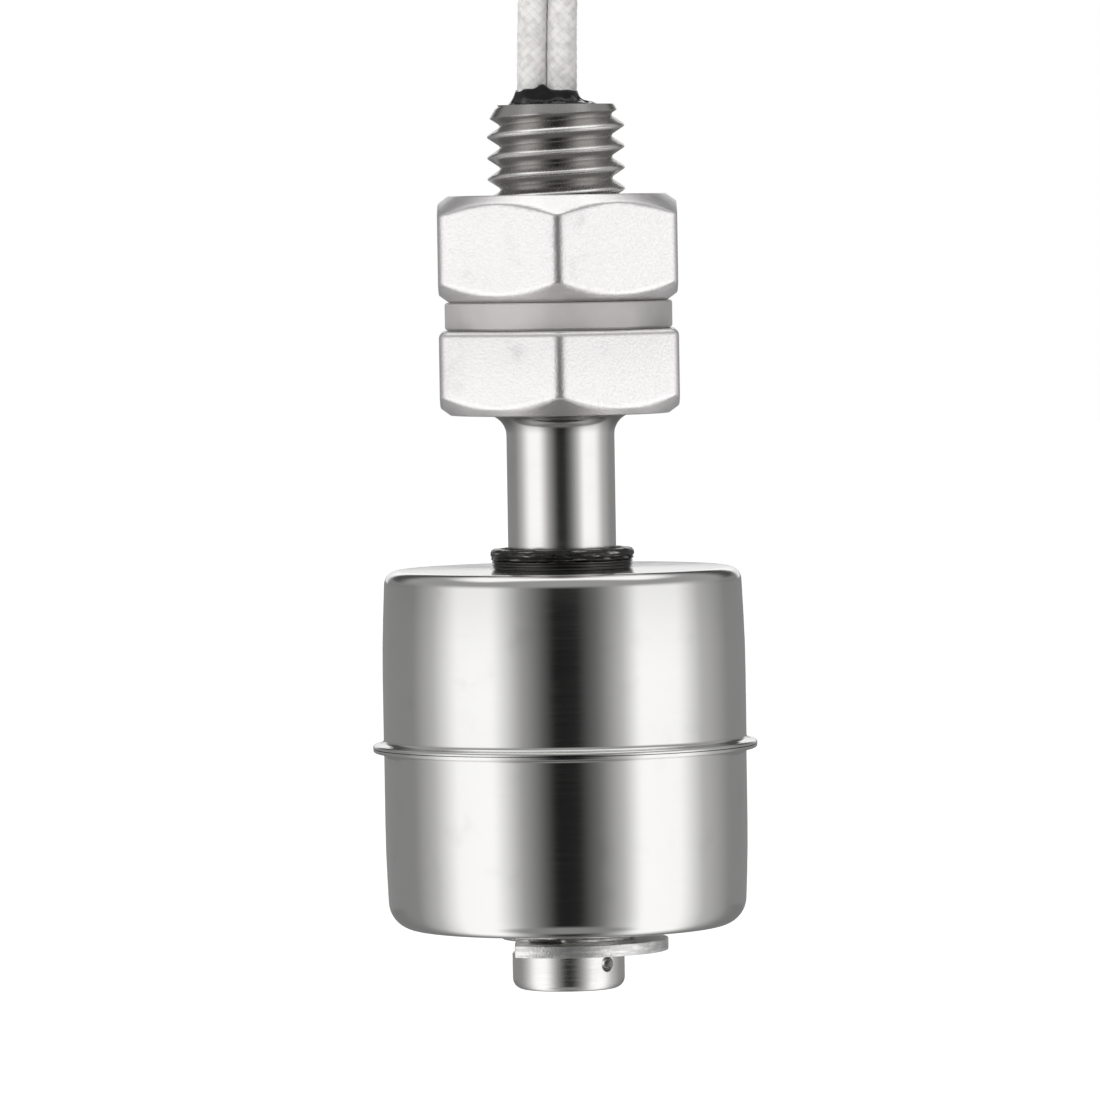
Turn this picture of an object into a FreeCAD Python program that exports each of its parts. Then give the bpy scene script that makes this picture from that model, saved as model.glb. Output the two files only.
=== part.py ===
import FreeCAD, Part
import math
import os

V = FreeCAD.Vector
AXIS = V(0, 0, 1)
ORIGIN = V(0, 0, 0)

# A vertical float level switch. The origin is on the stem's axis at the flange's sealing face, +Z runs up
# the thread, and a corner of the hexagons points to the front, at -Y. Sizes are in millimetres.

# Threaded neck and flange
THREAD_D = 9.8
THREAD_LENGTH = 16.0
THREAD_LEAD_IN = 0.8
THREAD_TAPER = 0.02
RELIEF_DEPTH = 0.9
RELIEF_WIDTH = 1.2
HEX_AF = 17.0
FLANGE_HEIGHT = 6.0
FLANGE_TOP_ROUND = 0.45
FLANGE_CHAMFER_INSET = 0.7
HUB_INSET = 1.0
CHAMFER_SLOPE = math.tan(math.radians(36))

# Stem
TOTAL_LENGTH = 63.0
STEM_D = 7.7
STEM_FILLET = 1.5
TIP_D = 8.0
TIP_LAND = 2.65
TIP_ROUND = 0.8
TIP_WALL = 1.5
BORE_D = 5.8
GROOVE_D = 7.0
DIMPLE_R = 0.5
DIMPLE_UP = 1.9
DIMPLE_ANGLE = -46.0

# Lock nut and gasket
NUT_HEIGHT = 7.6
NUT_CHAMFER_INSET = 0.75
NUT_RUNNING_GAP = 0.05
NUT_SINK = 0.5
GASKET_D = 16.2
GASKET_THICK = 2.0
GASKET_BEVEL = 0.2
GASKET_GAP = 0.15

# Retaining clip
CLIP_D = 14.3
CLIP_THICK = 0.85
CLIP_SIDE_GAP = 0.05
CLIP_INNER_D = 9.6
CLIP_MOUTH = 6.2
CLIP_TIP_CUT = 3.8
CLIP_LUG_WIDTH = 2.6
CLIP_LUG_ANGLES = (0.0, 112.0, -112.0)

# Float
FLOAT_D = 25.88
FLOAT_HEIGHT = 25.6
FLOAT_CROWN = 0.24
FLOAT_CROWN_SHARE = 0.43
FLOAT_CROWN_R = 20.0
SHELL_STEP = 0.02
SHEET = 0.3
FLOAT_TOP_ROUND = 1.0
FLOAT_BOTTOM_ROUND = 2.0
SEAM_D = 27.4
SEAM_ROUND = 0.35
SEAM_RIM_ROUND = 0.12
SEAM_BELOW_TOP = 12.65
SLEEVE_CLEARANCE = 0.3
SLEEVE_WALL = 0.3
NECK_FIT = 0.05
NECK_HEIGHT_TOP = 0.65
NECK_HEIGHT_BOTTOM = 0.3
NECK_ROUND = 0.35
NECK_RING = 0.12
LIP_REACH = 0.2
LIP_TOP = 0.8
LIP_BOTTOM = 0.5
LIP_ROUND = 0.22
FLOAT_REST_GAP = 0.05

# Magnet in the float
MAGNET_D = 14.4
MAGNET_HEIGHT = 5.0
MAGNET_GAP = 0.1
MAGNET_UP = 11.0
MAGNET_ROUND = 0.3
MAGNET_BORE_ROUND = 0.2
STOP_THICK = 0.5
STOP_D = 13.2
PUSH_FIT = 0.02

# Reed switch
GLASS_D = 2.2
GLASS_LENGTH = 14.0
GLASS_WALL = 0.32
GLASS_SEAL = 1.6
GLASS_NECK_D = 1.0
GLASS_SHOULDER = 1.1
GLASS_SHOULDER_ROUND = 0.5
GLASS_END_ROUND = 0.2
REED_X = -1.2
REED_CENTRE_Z = -21.5
REED_WIRE_D = 0.5
REED_TAIL = 6.0
BLADE_WIDTH = 1.2
BLADE_THICK = 0.2
BLADE_GAP = 0.1
BLADE_OVERLAP = 1.6
BLADE_ROOT_GAP = 0.4
BLADE_ROOT_LAP = 0.3
SOLDER_LENGTH = 2.0
SOLDER_D = 1.7
SOLDER_ROUND = 0.35
STRIP_MARGIN = 0.3
INSULATOR_WALL = 0.2
INSULATOR_GAP = 0.25
INSULATOR_OVERLAP = 1.0

# Leads
LEAD_D = 2.1
LEAD_SPACING = 2.1
PAIR_X = -0.6
LEAD_SOCKET_DEPTH = 1.5
CORE_D = 1.1
CONDUCTOR_D = 0.6
CORE_RETURN_X = 1.9
WIRE_BEND = 3.0
RETURN_BEND_ABOVE = 2.2
RETURN_BEND_BELOW = 2.4
POTTING_DEPTH = 12.0
POTTING_FIT = 0.02
MOUND_HEIGHT = 0.95
MOUND_FOOT_R = 3.7
MOUND_LONG_R = 2.55
MOUND_SHORT_R = 1.45

# Hank of the put-away lead
HANK_X = -0.5
HANK_Y = 27.5
HANK_Z = -14.0
HANK_FOLD_R = 6.45
HANK_HALF_RUN = 18.0
HANK_PITCH = 2.15
TOP_VOID_LOW = 5.0
TAIL_Z = -6.0
END_D = 0.9
END_LENGTH = 10.0
TIE_WIDTH = 2.5
TIE_THICK = 0.8
TIE_GAP = 0.1
TIE_HEAD = 3.6
TIE_HEAD_DEPTH = 2.5

# Working values for the cutting shapes and the routes' arcs
OVERSHOOT = 1.0
ENVELOPE_MARGIN = 0.5
FAR = 100.0
TINY = 1e-6
ARC_SHARE = 0.45

# Sizes that follow from these
stem_r = STEM_D / 2
tip_r = TIP_D / 2
bore_r = BORE_D / 2
thread_r = THREAD_D / 2
lead_r = LEAD_D / 2
stem_low = THREAD_LENGTH - TOTAL_LENGTH
nut_low = GASKET_THICK
nut_high = nut_low + NUT_HEIGHT
groove_low = stem_low + TIP_LAND
groove_high = groove_low + CLIP_THICK + 2 * CLIP_SIDE_GAP
clip_low = groove_low + CLIP_SIDE_GAP
clip_high = clip_low + CLIP_THICK
lip_low = clip_high + FLOAT_REST_GAP
float_low = lip_low + LIP_BOTTOM + NECK_HEIGHT_BOTTOM
float_high = float_low + FLOAT_HEIGHT
lip_high = float_high + NECK_HEIGHT_TOP + LIP_TOP
seam_z = float_high - SEAM_BELOW_TOP
sleeve_in = tip_r + SLEEVE_CLEARANCE
sleeve_out = sleeve_in + SLEEVE_WALL
neck_in = sleeve_out + NECK_FIT
neck_out = neck_in + SHEET
lip_r = neck_out + LIP_REACH
lead_low = THREAD_LENGTH - LEAD_SOCKET_DEPTH
potting_low = THREAD_LENGTH - POTTING_DEPTH
glass_low = REED_CENTRE_Z - GLASS_LENGTH / 2
glass_high = REED_CENTRE_Z + GLASS_LENGTH / 2
reed_low = glass_low - REED_TAIL
reed_high = glass_high + REED_TAIL
joint_x = REED_X + (REED_WIRE_D + CORE_D) / 2 + PUSH_FIT
tail_top = HANK_Z + TAIL_Z

# The route of the middle of the two leads, chosen by hand: straight up out of the potting, over in a
# loop to the back, and down to the top of the hank
ROUTE = [
    (PAIR_X, 0.0, lead_low),
    (PAIR_X, 0.0, 19.2),
    (-0.25, 0.2, 27.7),
    (-0.2, 6.6, 34.0),
    (-0.25, 15.6, 34.4),
    (-0.35, 21.8, 28.0),
    (-0.45, 21.4, 19.2),
    (HANK_X, HANK_Y - HANK_FOLD_R - 2 * HANK_PITCH, 11.6),
    (HANK_X, HANK_Y - HANK_FOLD_R - 2 * HANK_PITCH, HANK_Z + HANK_HALF_RUN),
]


def unit(vector):
    """A copy of a vector with length 1."""
    copy = V(vector)
    copy.normalize()
    return copy


def rounded_edges(corners, closed=True):
    """Lines and tangent arcs through corners, each (x, z, radius), in the XZ plane."""
    points = [V(x, 0, z) for x, z, radius in corners]
    count = len(points)
    edges = []
    start = None
    first = None
    for i, (x, z, radius) in enumerate(corners):
        here = points[i]
        inner = closed or 0 < i < count - 1
        if radius > 0 and inner:
            back = unit(points[i - 1] - here)
            ahead = unit(points[(i + 1) % count] - here)
            half = back.getAngle(ahead) / 2
            reach = radius / math.tan(half)
            enter = here + back * reach
            leave = here + ahead * reach
            middle = here + unit(back + ahead) * (radius / math.sin(half) - radius)
        else:
            enter = here
            leave = here
        if start is None:
            first = enter
        elif start.distanceToPoint(enter) > TINY:
            edges.append(Part.makeLine(start, enter))
        if leave.distanceToPoint(enter) > TINY:
            edges.append(Part.Arc(enter, middle, leave).toShape())
        start = leave
    if closed and start.distanceToPoint(first) > TINY:
        edges.append(Part.makeLine(start, first))
    return edges


def turned(corners):
    """A solid of revolution about Z from the closed section through corners."""
    face = Part.Face(Part.Wire(rounded_edges(corners)))
    return face.revolve(ORIGIN, AXIS, 360)


def turned_sheet(corners, thickness):
    """A thin turned sheet: the outer surface follows corners and the wall lies to its inside."""
    outer = Part.Wire(rounded_edges(corners, closed=False))
    wall = outer.makeOffset2D(thickness, 2, True, True, False)
    return wall.revolve(ORIGIN, AXIS, 360)


def rod(radius, low, high, x=0.0):
    """An upright cylinder between two heights."""
    return Part.makeCylinder(radius, high - low, V(x, 0, low), AXIS)


def block(low, high):
    """A box between two corners."""
    size = V(*high) - V(*low)
    return Part.makeBox(size.x, size.y, size.z, V(*low))


def hexagon(low, high):
    """A hexagonal prism with a corner at -Y."""
    corner_r = HEX_AF / math.sqrt(3)
    turns = [math.radians(60 * i - 90) for i in range(7)]
    outline = [V(corner_r * math.cos(a), corner_r * math.sin(a), low) for a in turns]
    return Part.Face(Part.makePolygon(outline)).extrude(AXIS * (high - low))


def chamfer_envelope(low, high, inset_low, inset_high):
    """A turned body that cuts the hexagon's corners back in a cone at each end with an inset."""
    corner_r = HEX_AF / math.sqrt(3) + ENVELOPE_MARGIN
    section = [(0, low, 0)]
    if inset_low:
        ring = HEX_AF / 2 - inset_low
        section += [(ring, low, 0), (corner_r, low + (corner_r - ring) * CHAMFER_SLOPE, 0)]
    else:
        section.append((corner_r, low, 0))
    if inset_high:
        ring = HEX_AF / 2 - inset_high
        section += [(corner_r, high - (corner_r - ring) * CHAMFER_SLOPE, 0), (ring, high, 0)]
    else:
        section.append((corner_r, high, 0))
    section.append((0, high, 0))
    return turned(section)


def rounded_route(points):
    """A wire of straight runs joined by tangent arcs, and the arcs' radii."""
    spots = [V(*p) for p in points]
    edges = []
    radii = []
    start = spots[0]
    for before, here, after in zip(spots, spots[1:], spots[2:]):
        back = unit(before - here)
        ahead = unit(after - here)
        half_turn = (math.pi - back.getAngle(ahead)) / 2
        reach = ARC_SHARE * min(before.distanceToPoint(here), after.distanceToPoint(here))
        radius = reach / math.tan(half_turn)
        radii.append(radius)
        middle = here + unit(back + ahead) * (radius / math.cos(half_turn) - radius)
        enter = here + back * reach
        leave = here + ahead * reach
        edges.append(Part.makeLine(start, enter))
        edges.append(Part.Arc(enter, middle, leave).toShape())
        start = leave
    edges.append(Part.makeLine(start, spots[-1]))
    return Part.Wire(edges), radii


def tube(name, points, radius):
    """A round solid along a route, with its arcs' radii and its volume against its length printed."""
    path, radii = rounded_route(points)
    start = V(*points[0])
    ring = Part.Wire(Part.makeCircle(radius, start, V(*points[1]) - start))
    solid = path.makePipeShell([ring], True, True)
    ratio = solid.Volume / (math.pi * radius ** 2 * path.Length)
    print(name, "length %.1f" % path.Length, "volume ratio %.4f" % ratio,
          "radii", ["%.1f" % r for r in radii])
    return solid


def stem_body():
    """The turned neck, flange, stem and tip, bored from the top."""
    hub_r = HEX_AF / 2 - HUB_INSET
    relief_r = thread_r - RELIEF_DEPTH
    profile = [
        (0, stem_low, 0),
        (tip_r, stem_low, TIP_ROUND),
        (tip_r, groove_low, 0),
        (GROOVE_D / 2, groove_low, 0),
        (GROOVE_D / 2, groove_high, 0),
        (stem_r, groove_high, 0),
        (stem_r, -FLANGE_HEIGHT, STEM_FILLET),
        (hub_r, -FLANGE_HEIGHT, 0),
        (hub_r, 0, 0),
        (relief_r, 0, 0),
        (relief_r, RELIEF_WIDTH, 0),
        (thread_r - THREAD_TAPER, RELIEF_WIDTH, 0),
        (thread_r, nut_high + NUT_RUNNING_GAP, 0),
        (thread_r, THREAD_LENGTH - THREAD_LEAD_IN, 0),
        (thread_r - THREAD_LEAD_IN, THREAD_LENGTH, 0),
        (0, THREAD_LENGTH, 0),
    ]
    core = turned(profile)
    flange = hexagon(-FLANGE_HEIGHT, 0)
    top_edges = [e for e in flange.Edges if e.BoundBox.ZMin > -TINY]
    flange = flange.makeFillet(FLANGE_TOP_ROUND, top_edges)
    flange = flange.common(chamfer_envelope(-FLANGE_HEIGHT, 0, FLANGE_CHAMFER_INSET, 0))
    body = core.fuse(flange)
    body = body.cut(rod(bore_r, stem_low + TIP_WALL, THREAD_LENGTH + OVERSHOOT))
    angle = math.radians(DIMPLE_ANGLE)
    dimple_at = V(tip_r * math.cos(angle), tip_r * math.sin(angle), stem_low + DIMPLE_UP)
    body = body.cut(Part.makeSphere(DIMPLE_R, dimple_at))
    return body.removeSplitter()


def lock_nut():
    """The hexagonal nut, chamfered on both faces, its bore countersunk at both ends."""
    nut = hexagon(nut_low, nut_high)
    nut = nut.common(chamfer_envelope(nut_low, nut_high, NUT_CHAMFER_INSET, NUT_CHAMFER_INSET))
    bore = thread_r + NUT_RUNNING_GAP
    hole = turned([
        (0, nut_low - NUT_SINK, 0),
        (bore + 2 * NUT_SINK, nut_low - NUT_SINK, 0),
        (bore, nut_low + NUT_SINK, 0),
        (bore, nut_high - NUT_SINK, 0),
        (bore + 2 * NUT_SINK, nut_high + NUT_SINK, 0),
        (0, nut_high + NUT_SINK, 0),
    ])
    return nut.cut(hole)


def gasket():
    """The flat sealing ring between flange and nut, with bevelled outer edges."""
    inner = thread_r + GASKET_GAP
    outer = GASKET_D / 2
    return turned([
        (inner, 0, 0),
        (outer - GASKET_BEVEL, 0, 0),
        (outer, GASKET_BEVEL, 0),
        (outer, GASKET_THICK - GASKET_BEVEL, 0),
        (outer - GASKET_BEVEL, GASKET_THICK, 0),
        (inner, GASKET_THICK, 0),
    ])


def retaining_clip():
    """The E-shaped clip: a ring with its mouth at -X and three lugs that reach the groove's floor."""
    ring = rod(CLIP_D / 2, clip_low, clip_high).cut(rod(CLIP_INNER_D / 2, clip_low, clip_high))
    lugs = rod((CLIP_D / 2 + CLIP_INNER_D / 2) / 2, clip_low, clip_high)
    lugs = lugs.cut(rod(GROOVE_D / 2 + PUSH_FIT, clip_low, clip_high))
    for lug_angle in CLIP_LUG_ANGLES:
        lug = block((0, -CLIP_LUG_WIDTH / 2, clip_low), (CLIP_D, CLIP_LUG_WIDTH / 2, clip_high))
        lug.rotate(ORIGIN, AXIS, lug_angle)
        ring = ring.fuse(lug.common(lugs))
    mouth = block((-CLIP_D, -CLIP_MOUTH / 2, clip_low), (0, CLIP_MOUTH / 2, clip_high))
    mouth = mouth.cut(rod(CLIP_INNER_D / 2, clip_low, clip_high))
    tips = block((-CLIP_D, -CLIP_D, clip_low), (-CLIP_TIP_CUT, CLIP_D, clip_high))
    clip = ring.cut(mouth).cut(tips)
    return clip.removeSplitter()


def rounded_rim(shell, height):
    """A float shell with the free edge of its seam flange rounded."""
    rim = [e for e in shell.Edges
           if abs(e.BoundBox.XLength - SEAM_D) < TINY * FAR and abs(e.BoundBox.ZMin - height) < TINY * FAR]
    return shell.makeFillet(SEAM_RIM_ROUND, rim)


def float_upper_shell():
    """The upper drawn cup: ringed neck, flat top, crowned wall and seam flange."""
    wall_r = FLOAT_D / 2
    neck_top = float_high + NECK_HEIGHT_TOP
    shell = turned_sheet([
        (neck_out, neck_top, 0),
        (neck_out, float_high, NECK_ROUND),
        (wall_r - FLOAT_CROWN, float_high, FLOAT_TOP_ROUND),
        (wall_r, float_high - SEAM_BELOW_TOP * FLOAT_CROWN_SHARE, FLOAT_CROWN_R),
        (wall_r, seam_z + SHEET, SEAM_ROUND),
        (SEAM_D / 2, seam_z + SHEET, 0),
    ], -SHEET)
    ring_z = neck_top - NECK_RING
    ring = Part.makeTorus(neck_out - NECK_RING / 3, NECK_RING, V(0, 0, ring_z), AXIS)
    ring = ring.cut(rod(neck_out - SHEET / 2, ring_z - OVERSHOOT, ring_z + OVERSHOOT))
    return rounded_rim(shell.fuse(ring).removeSplitter(), seam_z + SHEET)


def float_lower_shell():
    """The lower drawn cup, the same way up as it was welded: seam flange, crowned wall, round corner."""
    wall_r = FLOAT_D / 2 - SHELL_STEP
    height = FLOAT_HEIGHT - SEAM_BELOW_TOP
    shell = turned_sheet([
        (neck_out, float_low - NECK_HEIGHT_BOTTOM, 0),
        (neck_out, float_low, NECK_ROUND / 2),
        (wall_r - FLOAT_CROWN, float_low, FLOAT_BOTTOM_ROUND),
        (wall_r, float_low + height * FLOAT_CROWN_SHARE, FLOAT_CROWN_R),
        (wall_r, seam_z - SHEET, SEAM_ROUND),
        (SEAM_D / 2, seam_z - SHEET, 0),
    ], SHEET)
    return rounded_rim(shell, seam_z - SHEET)


def float_sleeve():
    """The centre tube, with a rolled lip over the neck of each shell."""
    neck_top = float_high + NECK_HEIGHT_TOP
    neck_bottom = float_low - NECK_HEIGHT_BOTTOM
    return turned([
        (sleeve_in, lip_low, LIP_ROUND / 2),
        (lip_r, lip_low, LIP_ROUND),
        (lip_r, neck_bottom, LIP_ROUND / 2),
        (sleeve_out, neck_bottom, 0),
        (sleeve_out, neck_top, 0),
        (lip_r, neck_top, LIP_ROUND),
        (lip_r, lip_high, LIP_ROUND),
        (sleeve_in, lip_high, LIP_ROUND / 2),
    ])


def magnet_parts():
    """The ring magnet and the two push-on rings that hold it on the centre tube."""
    low = float_low + MAGNET_UP
    high = low + MAGNET_HEIGHT
    bore = sleeve_out + MAGNET_GAP
    magnet = turned([
        (bore, low, MAGNET_BORE_ROUND), (MAGNET_D / 2, low, MAGNET_ROUND),
        (MAGNET_D / 2, high, MAGNET_ROUND), (bore, high, MAGNET_BORE_ROUND),
    ])
    stops = []
    for base in (low - STOP_THICK, high):
        ring = rod(STOP_D / 2, base, base + STOP_THICK)
        stops.append(ring.cut(rod(sleeve_out + PUSH_FIT, base, base + STOP_THICK)))
    return magnet, stops[0], stops[1]


def reed_glass():
    """The sealed glass capsule, hollow, with necked ends that grip the blades' wires."""
    outer = turned([
        (0, glass_low, 0),
        (GLASS_NECK_D / 2, glass_low, GLASS_END_ROUND),
        (GLASS_D / 2, glass_low + GLASS_SHOULDER, GLASS_SHOULDER_ROUND),
        (GLASS_D / 2, glass_high - GLASS_SHOULDER, GLASS_SHOULDER_ROUND),
        (GLASS_NECK_D / 2, glass_high, GLASS_END_ROUND),
        (0, glass_high, 0),
    ])
    inner_r = GLASS_D / 2 - GLASS_WALL
    cavity = rod(inner_r, glass_low + GLASS_SEAL, glass_high - GLASS_SEAL)
    capsule = outer.cut(cavity).cut(rod(REED_WIRE_D / 2 + PUSH_FIT, glass_low, glass_high))
    capsule.translate(V(REED_X, 0, 0))
    return capsule


def reed_blade(up):
    """One blade: a round wire end, stamped flat where it overlaps the other inside the glass."""
    inner_end = REED_CENTRE_Z - up * BLADE_OVERLAP / 2
    flat_start = REED_CENTRE_Z + up * (GLASS_LENGTH / 2 - GLASS_SEAL - BLADE_ROOT_GAP)
    outer_end = reed_high if up > 0 else reed_low
    low, high = sorted((flat_start, outer_end))
    wire = rod(REED_WIRE_D / 2, low, high, REED_X)
    side = sorted((up * BLADE_GAP / 2, up * (BLADE_GAP / 2 + BLADE_THICK)))
    low, high = sorted((inner_end, flat_start + up * BLADE_ROOT_LAP))
    blade = block((REED_X - BLADE_WIDTH / 2, side[0], low), (REED_X + BLADE_WIDTH / 2, side[1], high))
    corners = [e for e in blade.Edges
               if abs(e.BoundBox.ZMax - inner_end) < TINY and abs(e.BoundBox.ZMin - inner_end) < TINY
               and e.BoundBox.YLength > BLADE_THICK / 2 and e.BoundBox.XLength < TINY]
    blade = blade.makeFillet(BLADE_WIDTH / 3, corners)
    return wire.fuse(blade).removeSplitter()


def core_wire(name, points, tip_low, tip_high):
    """An insulated wire inside the bore, with its stripped end beside the reed's wire."""
    return tube(name, points, CORE_D / 2).fuse(rod(CONDUCTOR_D / 2, tip_low, tip_high, joint_x))


def inner_wires():
    """The left wire ends at the upper joint, and the right one runs past the reed to the lower joint."""
    left_x = PAIR_X - LEAD_SPACING / 2
    right_x = PAIR_X + LEAD_SPACING / 2
    strip = SOLDER_LENGTH + STRIP_MARGIN
    left_end = reed_high + STRIP_MARGIN
    left = core_wire("inner_wire_left", [
        (left_x, 0, lead_low), (left_x, 0, potting_low - WIRE_BEND),
        (joint_x, 0, potting_low - 2.5 * WIRE_BEND), (joint_x, 0, left_end),
    ], left_end - strip, left_end)
    right_end = reed_low + SOLDER_LENGTH + 2 * STRIP_MARGIN
    right = core_wire("inner_wire_right", [
        (right_x, 0, lead_low), (right_x, 0, potting_low - WIRE_BEND),
        (CORE_RETURN_X, 0, potting_low - 3 * WIRE_BEND), (CORE_RETURN_X, 0, glass_low + RETURN_BEND_ABOVE),
        (joint_x, 0, glass_low - RETURN_BEND_BELOW), (joint_x, 0, right_end),
    ], right_end - strip, right_end)
    return left, right


def solder_joint(low, wire):
    """A round-ended drop of solder round the reed's wire and the conductor beside it."""
    middle = (REED_X + joint_x) / 2
    drop = rod(SOLDER_D / 2, low, low + SOLDER_LENGTH, middle)
    drop = drop.makeFillet(SOLDER_ROUND, [e for e in drop.Edges if e.Curve.TypeId == "Part::GeomCircle"])
    drop = drop.cut(rod(REED_WIRE_D / 2 + PUSH_FIT, low, low + SOLDER_LENGTH, REED_X))
    drop = drop.cut(rod(CONDUCTOR_D / 2 + PUSH_FIT, low, low + SOLDER_LENGTH, joint_x))
    return drop.cut(wire)


def insulating_sleeve():
    """The thin tube round the reed and its upper joint."""
    inner = GLASS_D / 2 + INSULATOR_GAP
    centre = REED_X + INSULATOR_GAP / 2
    low = glass_low + INSULATOR_OVERLAP
    high = reed_high + INSULATOR_OVERLAP
    return rod(inner + INSULATOR_WALL, low, high, centre).cut(rod(inner, low, high, centre))


def potting():
    """The epoxy: a plug in the bore, a foot over the rim and an oval crown round the two leads."""
    plug = rod(bore_r - POTTING_FIT, potting_low, THREAD_LENGTH)
    foot = Part.Wire(Part.makeCircle(MOUND_FOOT_R, V(0, 0, THREAD_LENGTH)))
    crown_at = V(PAIR_X, 0, THREAD_LENGTH + MOUND_HEIGHT)
    crown = Part.Wire(Part.Ellipse(crown_at, MOUND_LONG_R, MOUND_SHORT_R).toShape())
    mass = plug.fuse(Part.makeLoft([foot, crown], True))
    for side in (-1, 1):
        x = PAIR_X + side * LEAD_SPACING / 2
        mass = mass.cut(rod(lead_r + POTTING_FIT, lead_low, THREAD_LENGTH + MOUND_HEIGHT + OVERSHOOT, x))
        mass = mass.cut(rod(CORE_D / 2 + POTTING_FIT, potting_low - OVERSHOOT, lead_low + OVERSHOOT, x))
    return mass.removeSplitter()


def lead(side):
    """One lead from the potting to the top of the hank."""
    points = [(x + side * LEAD_SPACING / 2, y, z) for x, y, z in ROUTE]
    return tube("lead %+d" % side, points, lead_r)


def waist_radius(bulge, waist):
    """The radius of the arc that joins a fold of one reach to a narrower waist."""
    return (HANK_HALF_RUN ** 2 / (bulge - waist) - (bulge + waist)) / 2


def flank(side, up, bulge, waist):
    """Three points of the arc from the fold to the waist, as (y, z) from the hank's middle."""
    radius = waist_radius(bulge, waist)
    reach = waist + radius
    slope = math.atan2(HANK_HALF_RUN, reach)
    points = []
    for share in (1.0, 0.5, 0.0):
        y = side * (reach - radius * math.cos(slope * share))
        points.append((y, up * radius * math.sin(slope * share)))
    return points


def hank_arc(points):
    """An arc through three (y, z) points, on the hank's near face."""
    x = HANK_X - LEAD_SPACING / 2 - lead_r
    return Part.Arc(*[V(x, HANK_Y + y, HANK_Z + z) for y, z in points]).toShape()


def hank_line(start, end):
    """A straight edge between two (y, z) points, on the hank's near face."""
    x = HANK_X - LEAD_SPACING / 2 - lead_r
    return Part.makeLine(*[V(x, HANK_Y + y, HANK_Z + z) for y, z in (start, end)])


def hank_plate(edges):
    """A plate as thick as the two leads side by side."""
    return Part.Face(Part.Wire(edges)).extrude(V(LEAD_SPACING + LEAD_D, 0, 0))


def hank_void(up, front_waist, back_waist, end_z):
    """The drop-shaped space inside the fold at one end of the hank."""
    bulge = HANK_FOLD_R - lead_r
    front = flank(-1, up, bulge, front_waist)
    back = flank(1, up, bulge, back_waist)
    top = (0, up * (HANK_HALF_RUN + bulge))
    void = hank_plate([
        hank_arc([front[0], top, back[0]]),
        hank_arc(back),
        hank_line(back[2], front[2]),
        hank_arc(front[::-1]),
    ])
    far = HANK_Z + up * FAR
    near = HANK_Z + end_z
    keep = block((-FAR, 0, min(near, far)), (FAR, FAR, max(near, far)))
    return void.common(keep)


def lead_hank():
    """The folded leads as one body: five layers at the waist, a fold at each end, open inside."""
    outer = HANK_FOLD_R + HANK_PITCH + lead_r
    waist = 2 * HANK_PITCH + lead_r
    entry = outer + HANK_PITCH
    front_top = flank(-1, 1, entry, waist)
    front_low = flank(-1, -1, outer, waist)
    back_low = flank(1, -1, outer, waist)
    back_top = flank(1, 1, outer, waist)
    side = math.atan2(HANK_HALF_RUN, waist + waist_radius(entry, waist)) / 2
    shoulder = (-entry * math.cos(side), HANK_HALF_RUN - entry * math.sin(side))
    body = hank_plate([
        hank_arc([(-entry, HANK_HALF_RUN), shoulder, front_top[0]]),
        hank_arc(front_top),
        hank_arc(front_low[::-1]),
        hank_arc([front_low[0], (0, -HANK_HALF_RUN - outer), back_low[0]]),
        hank_arc(back_low),
        hank_arc(back_top[::-1]),
        hank_arc([back_top[0], (0, HANK_HALF_RUN + outer), (-outer, HANK_HALF_RUN)]),
        hank_line((-outer, HANK_HALF_RUN), (-entry, HANK_HALF_RUN)),
    ])
    body = body.cut(hank_void(1, -lead_r, HANK_PITCH - lead_r, TOP_VOID_LOW))
    return body.cut(hank_void(-1, HANK_PITCH - lead_r, HANK_PITCH - lead_r, TAIL_Z))


def lead_end(side):
    """The stripped and tinned end of a lead, hanging from the hank's waist."""
    x = HANK_X + side * LEAD_SPACING / 2
    return Part.makeCylinder(END_D / 2, END_LENGTH, V(x, HANK_Y, tail_top - END_LENGTH), AXIS)


def hank_tie():
    """A narrow strap round the hank's waist, with its locking head at the back."""
    half_x = LEAD_SPACING / 2 + lead_r + TIE_GAP
    half_y = 2 * HANK_PITCH + lead_r + TIE_GAP
    low = HANK_Z - TIE_WIDTH / 2
    high = HANK_Z + TIE_WIDTH / 2
    band = block((HANK_X - half_x - TIE_THICK, HANK_Y - half_y - TIE_THICK, low),
                 (HANK_X + half_x + TIE_THICK, HANK_Y + half_y + TIE_THICK, high))
    upright = [e for e in band.Edges if e.BoundBox.ZLength > TIE_WIDTH / 2]
    band = band.makeFillet(TIE_THICK, upright)
    band = band.cut(block((HANK_X - half_x, HANK_Y - half_y, low), (HANK_X + half_x, HANK_Y + half_y, high)))
    back = HANK_Y + half_y + TIE_THICK / 2
    head = block((HANK_X - TIE_HEAD / 2, back, HANK_Z - TIE_HEAD / 2),
                 (HANK_X + TIE_HEAD / 2, back + TIE_HEAD_DEPTH, HANK_Z + TIE_HEAD / 2))
    head = head.makeFillet(TIE_THICK / 2, head.Edges)
    return band.fuse(head).removeSplitter()


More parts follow.
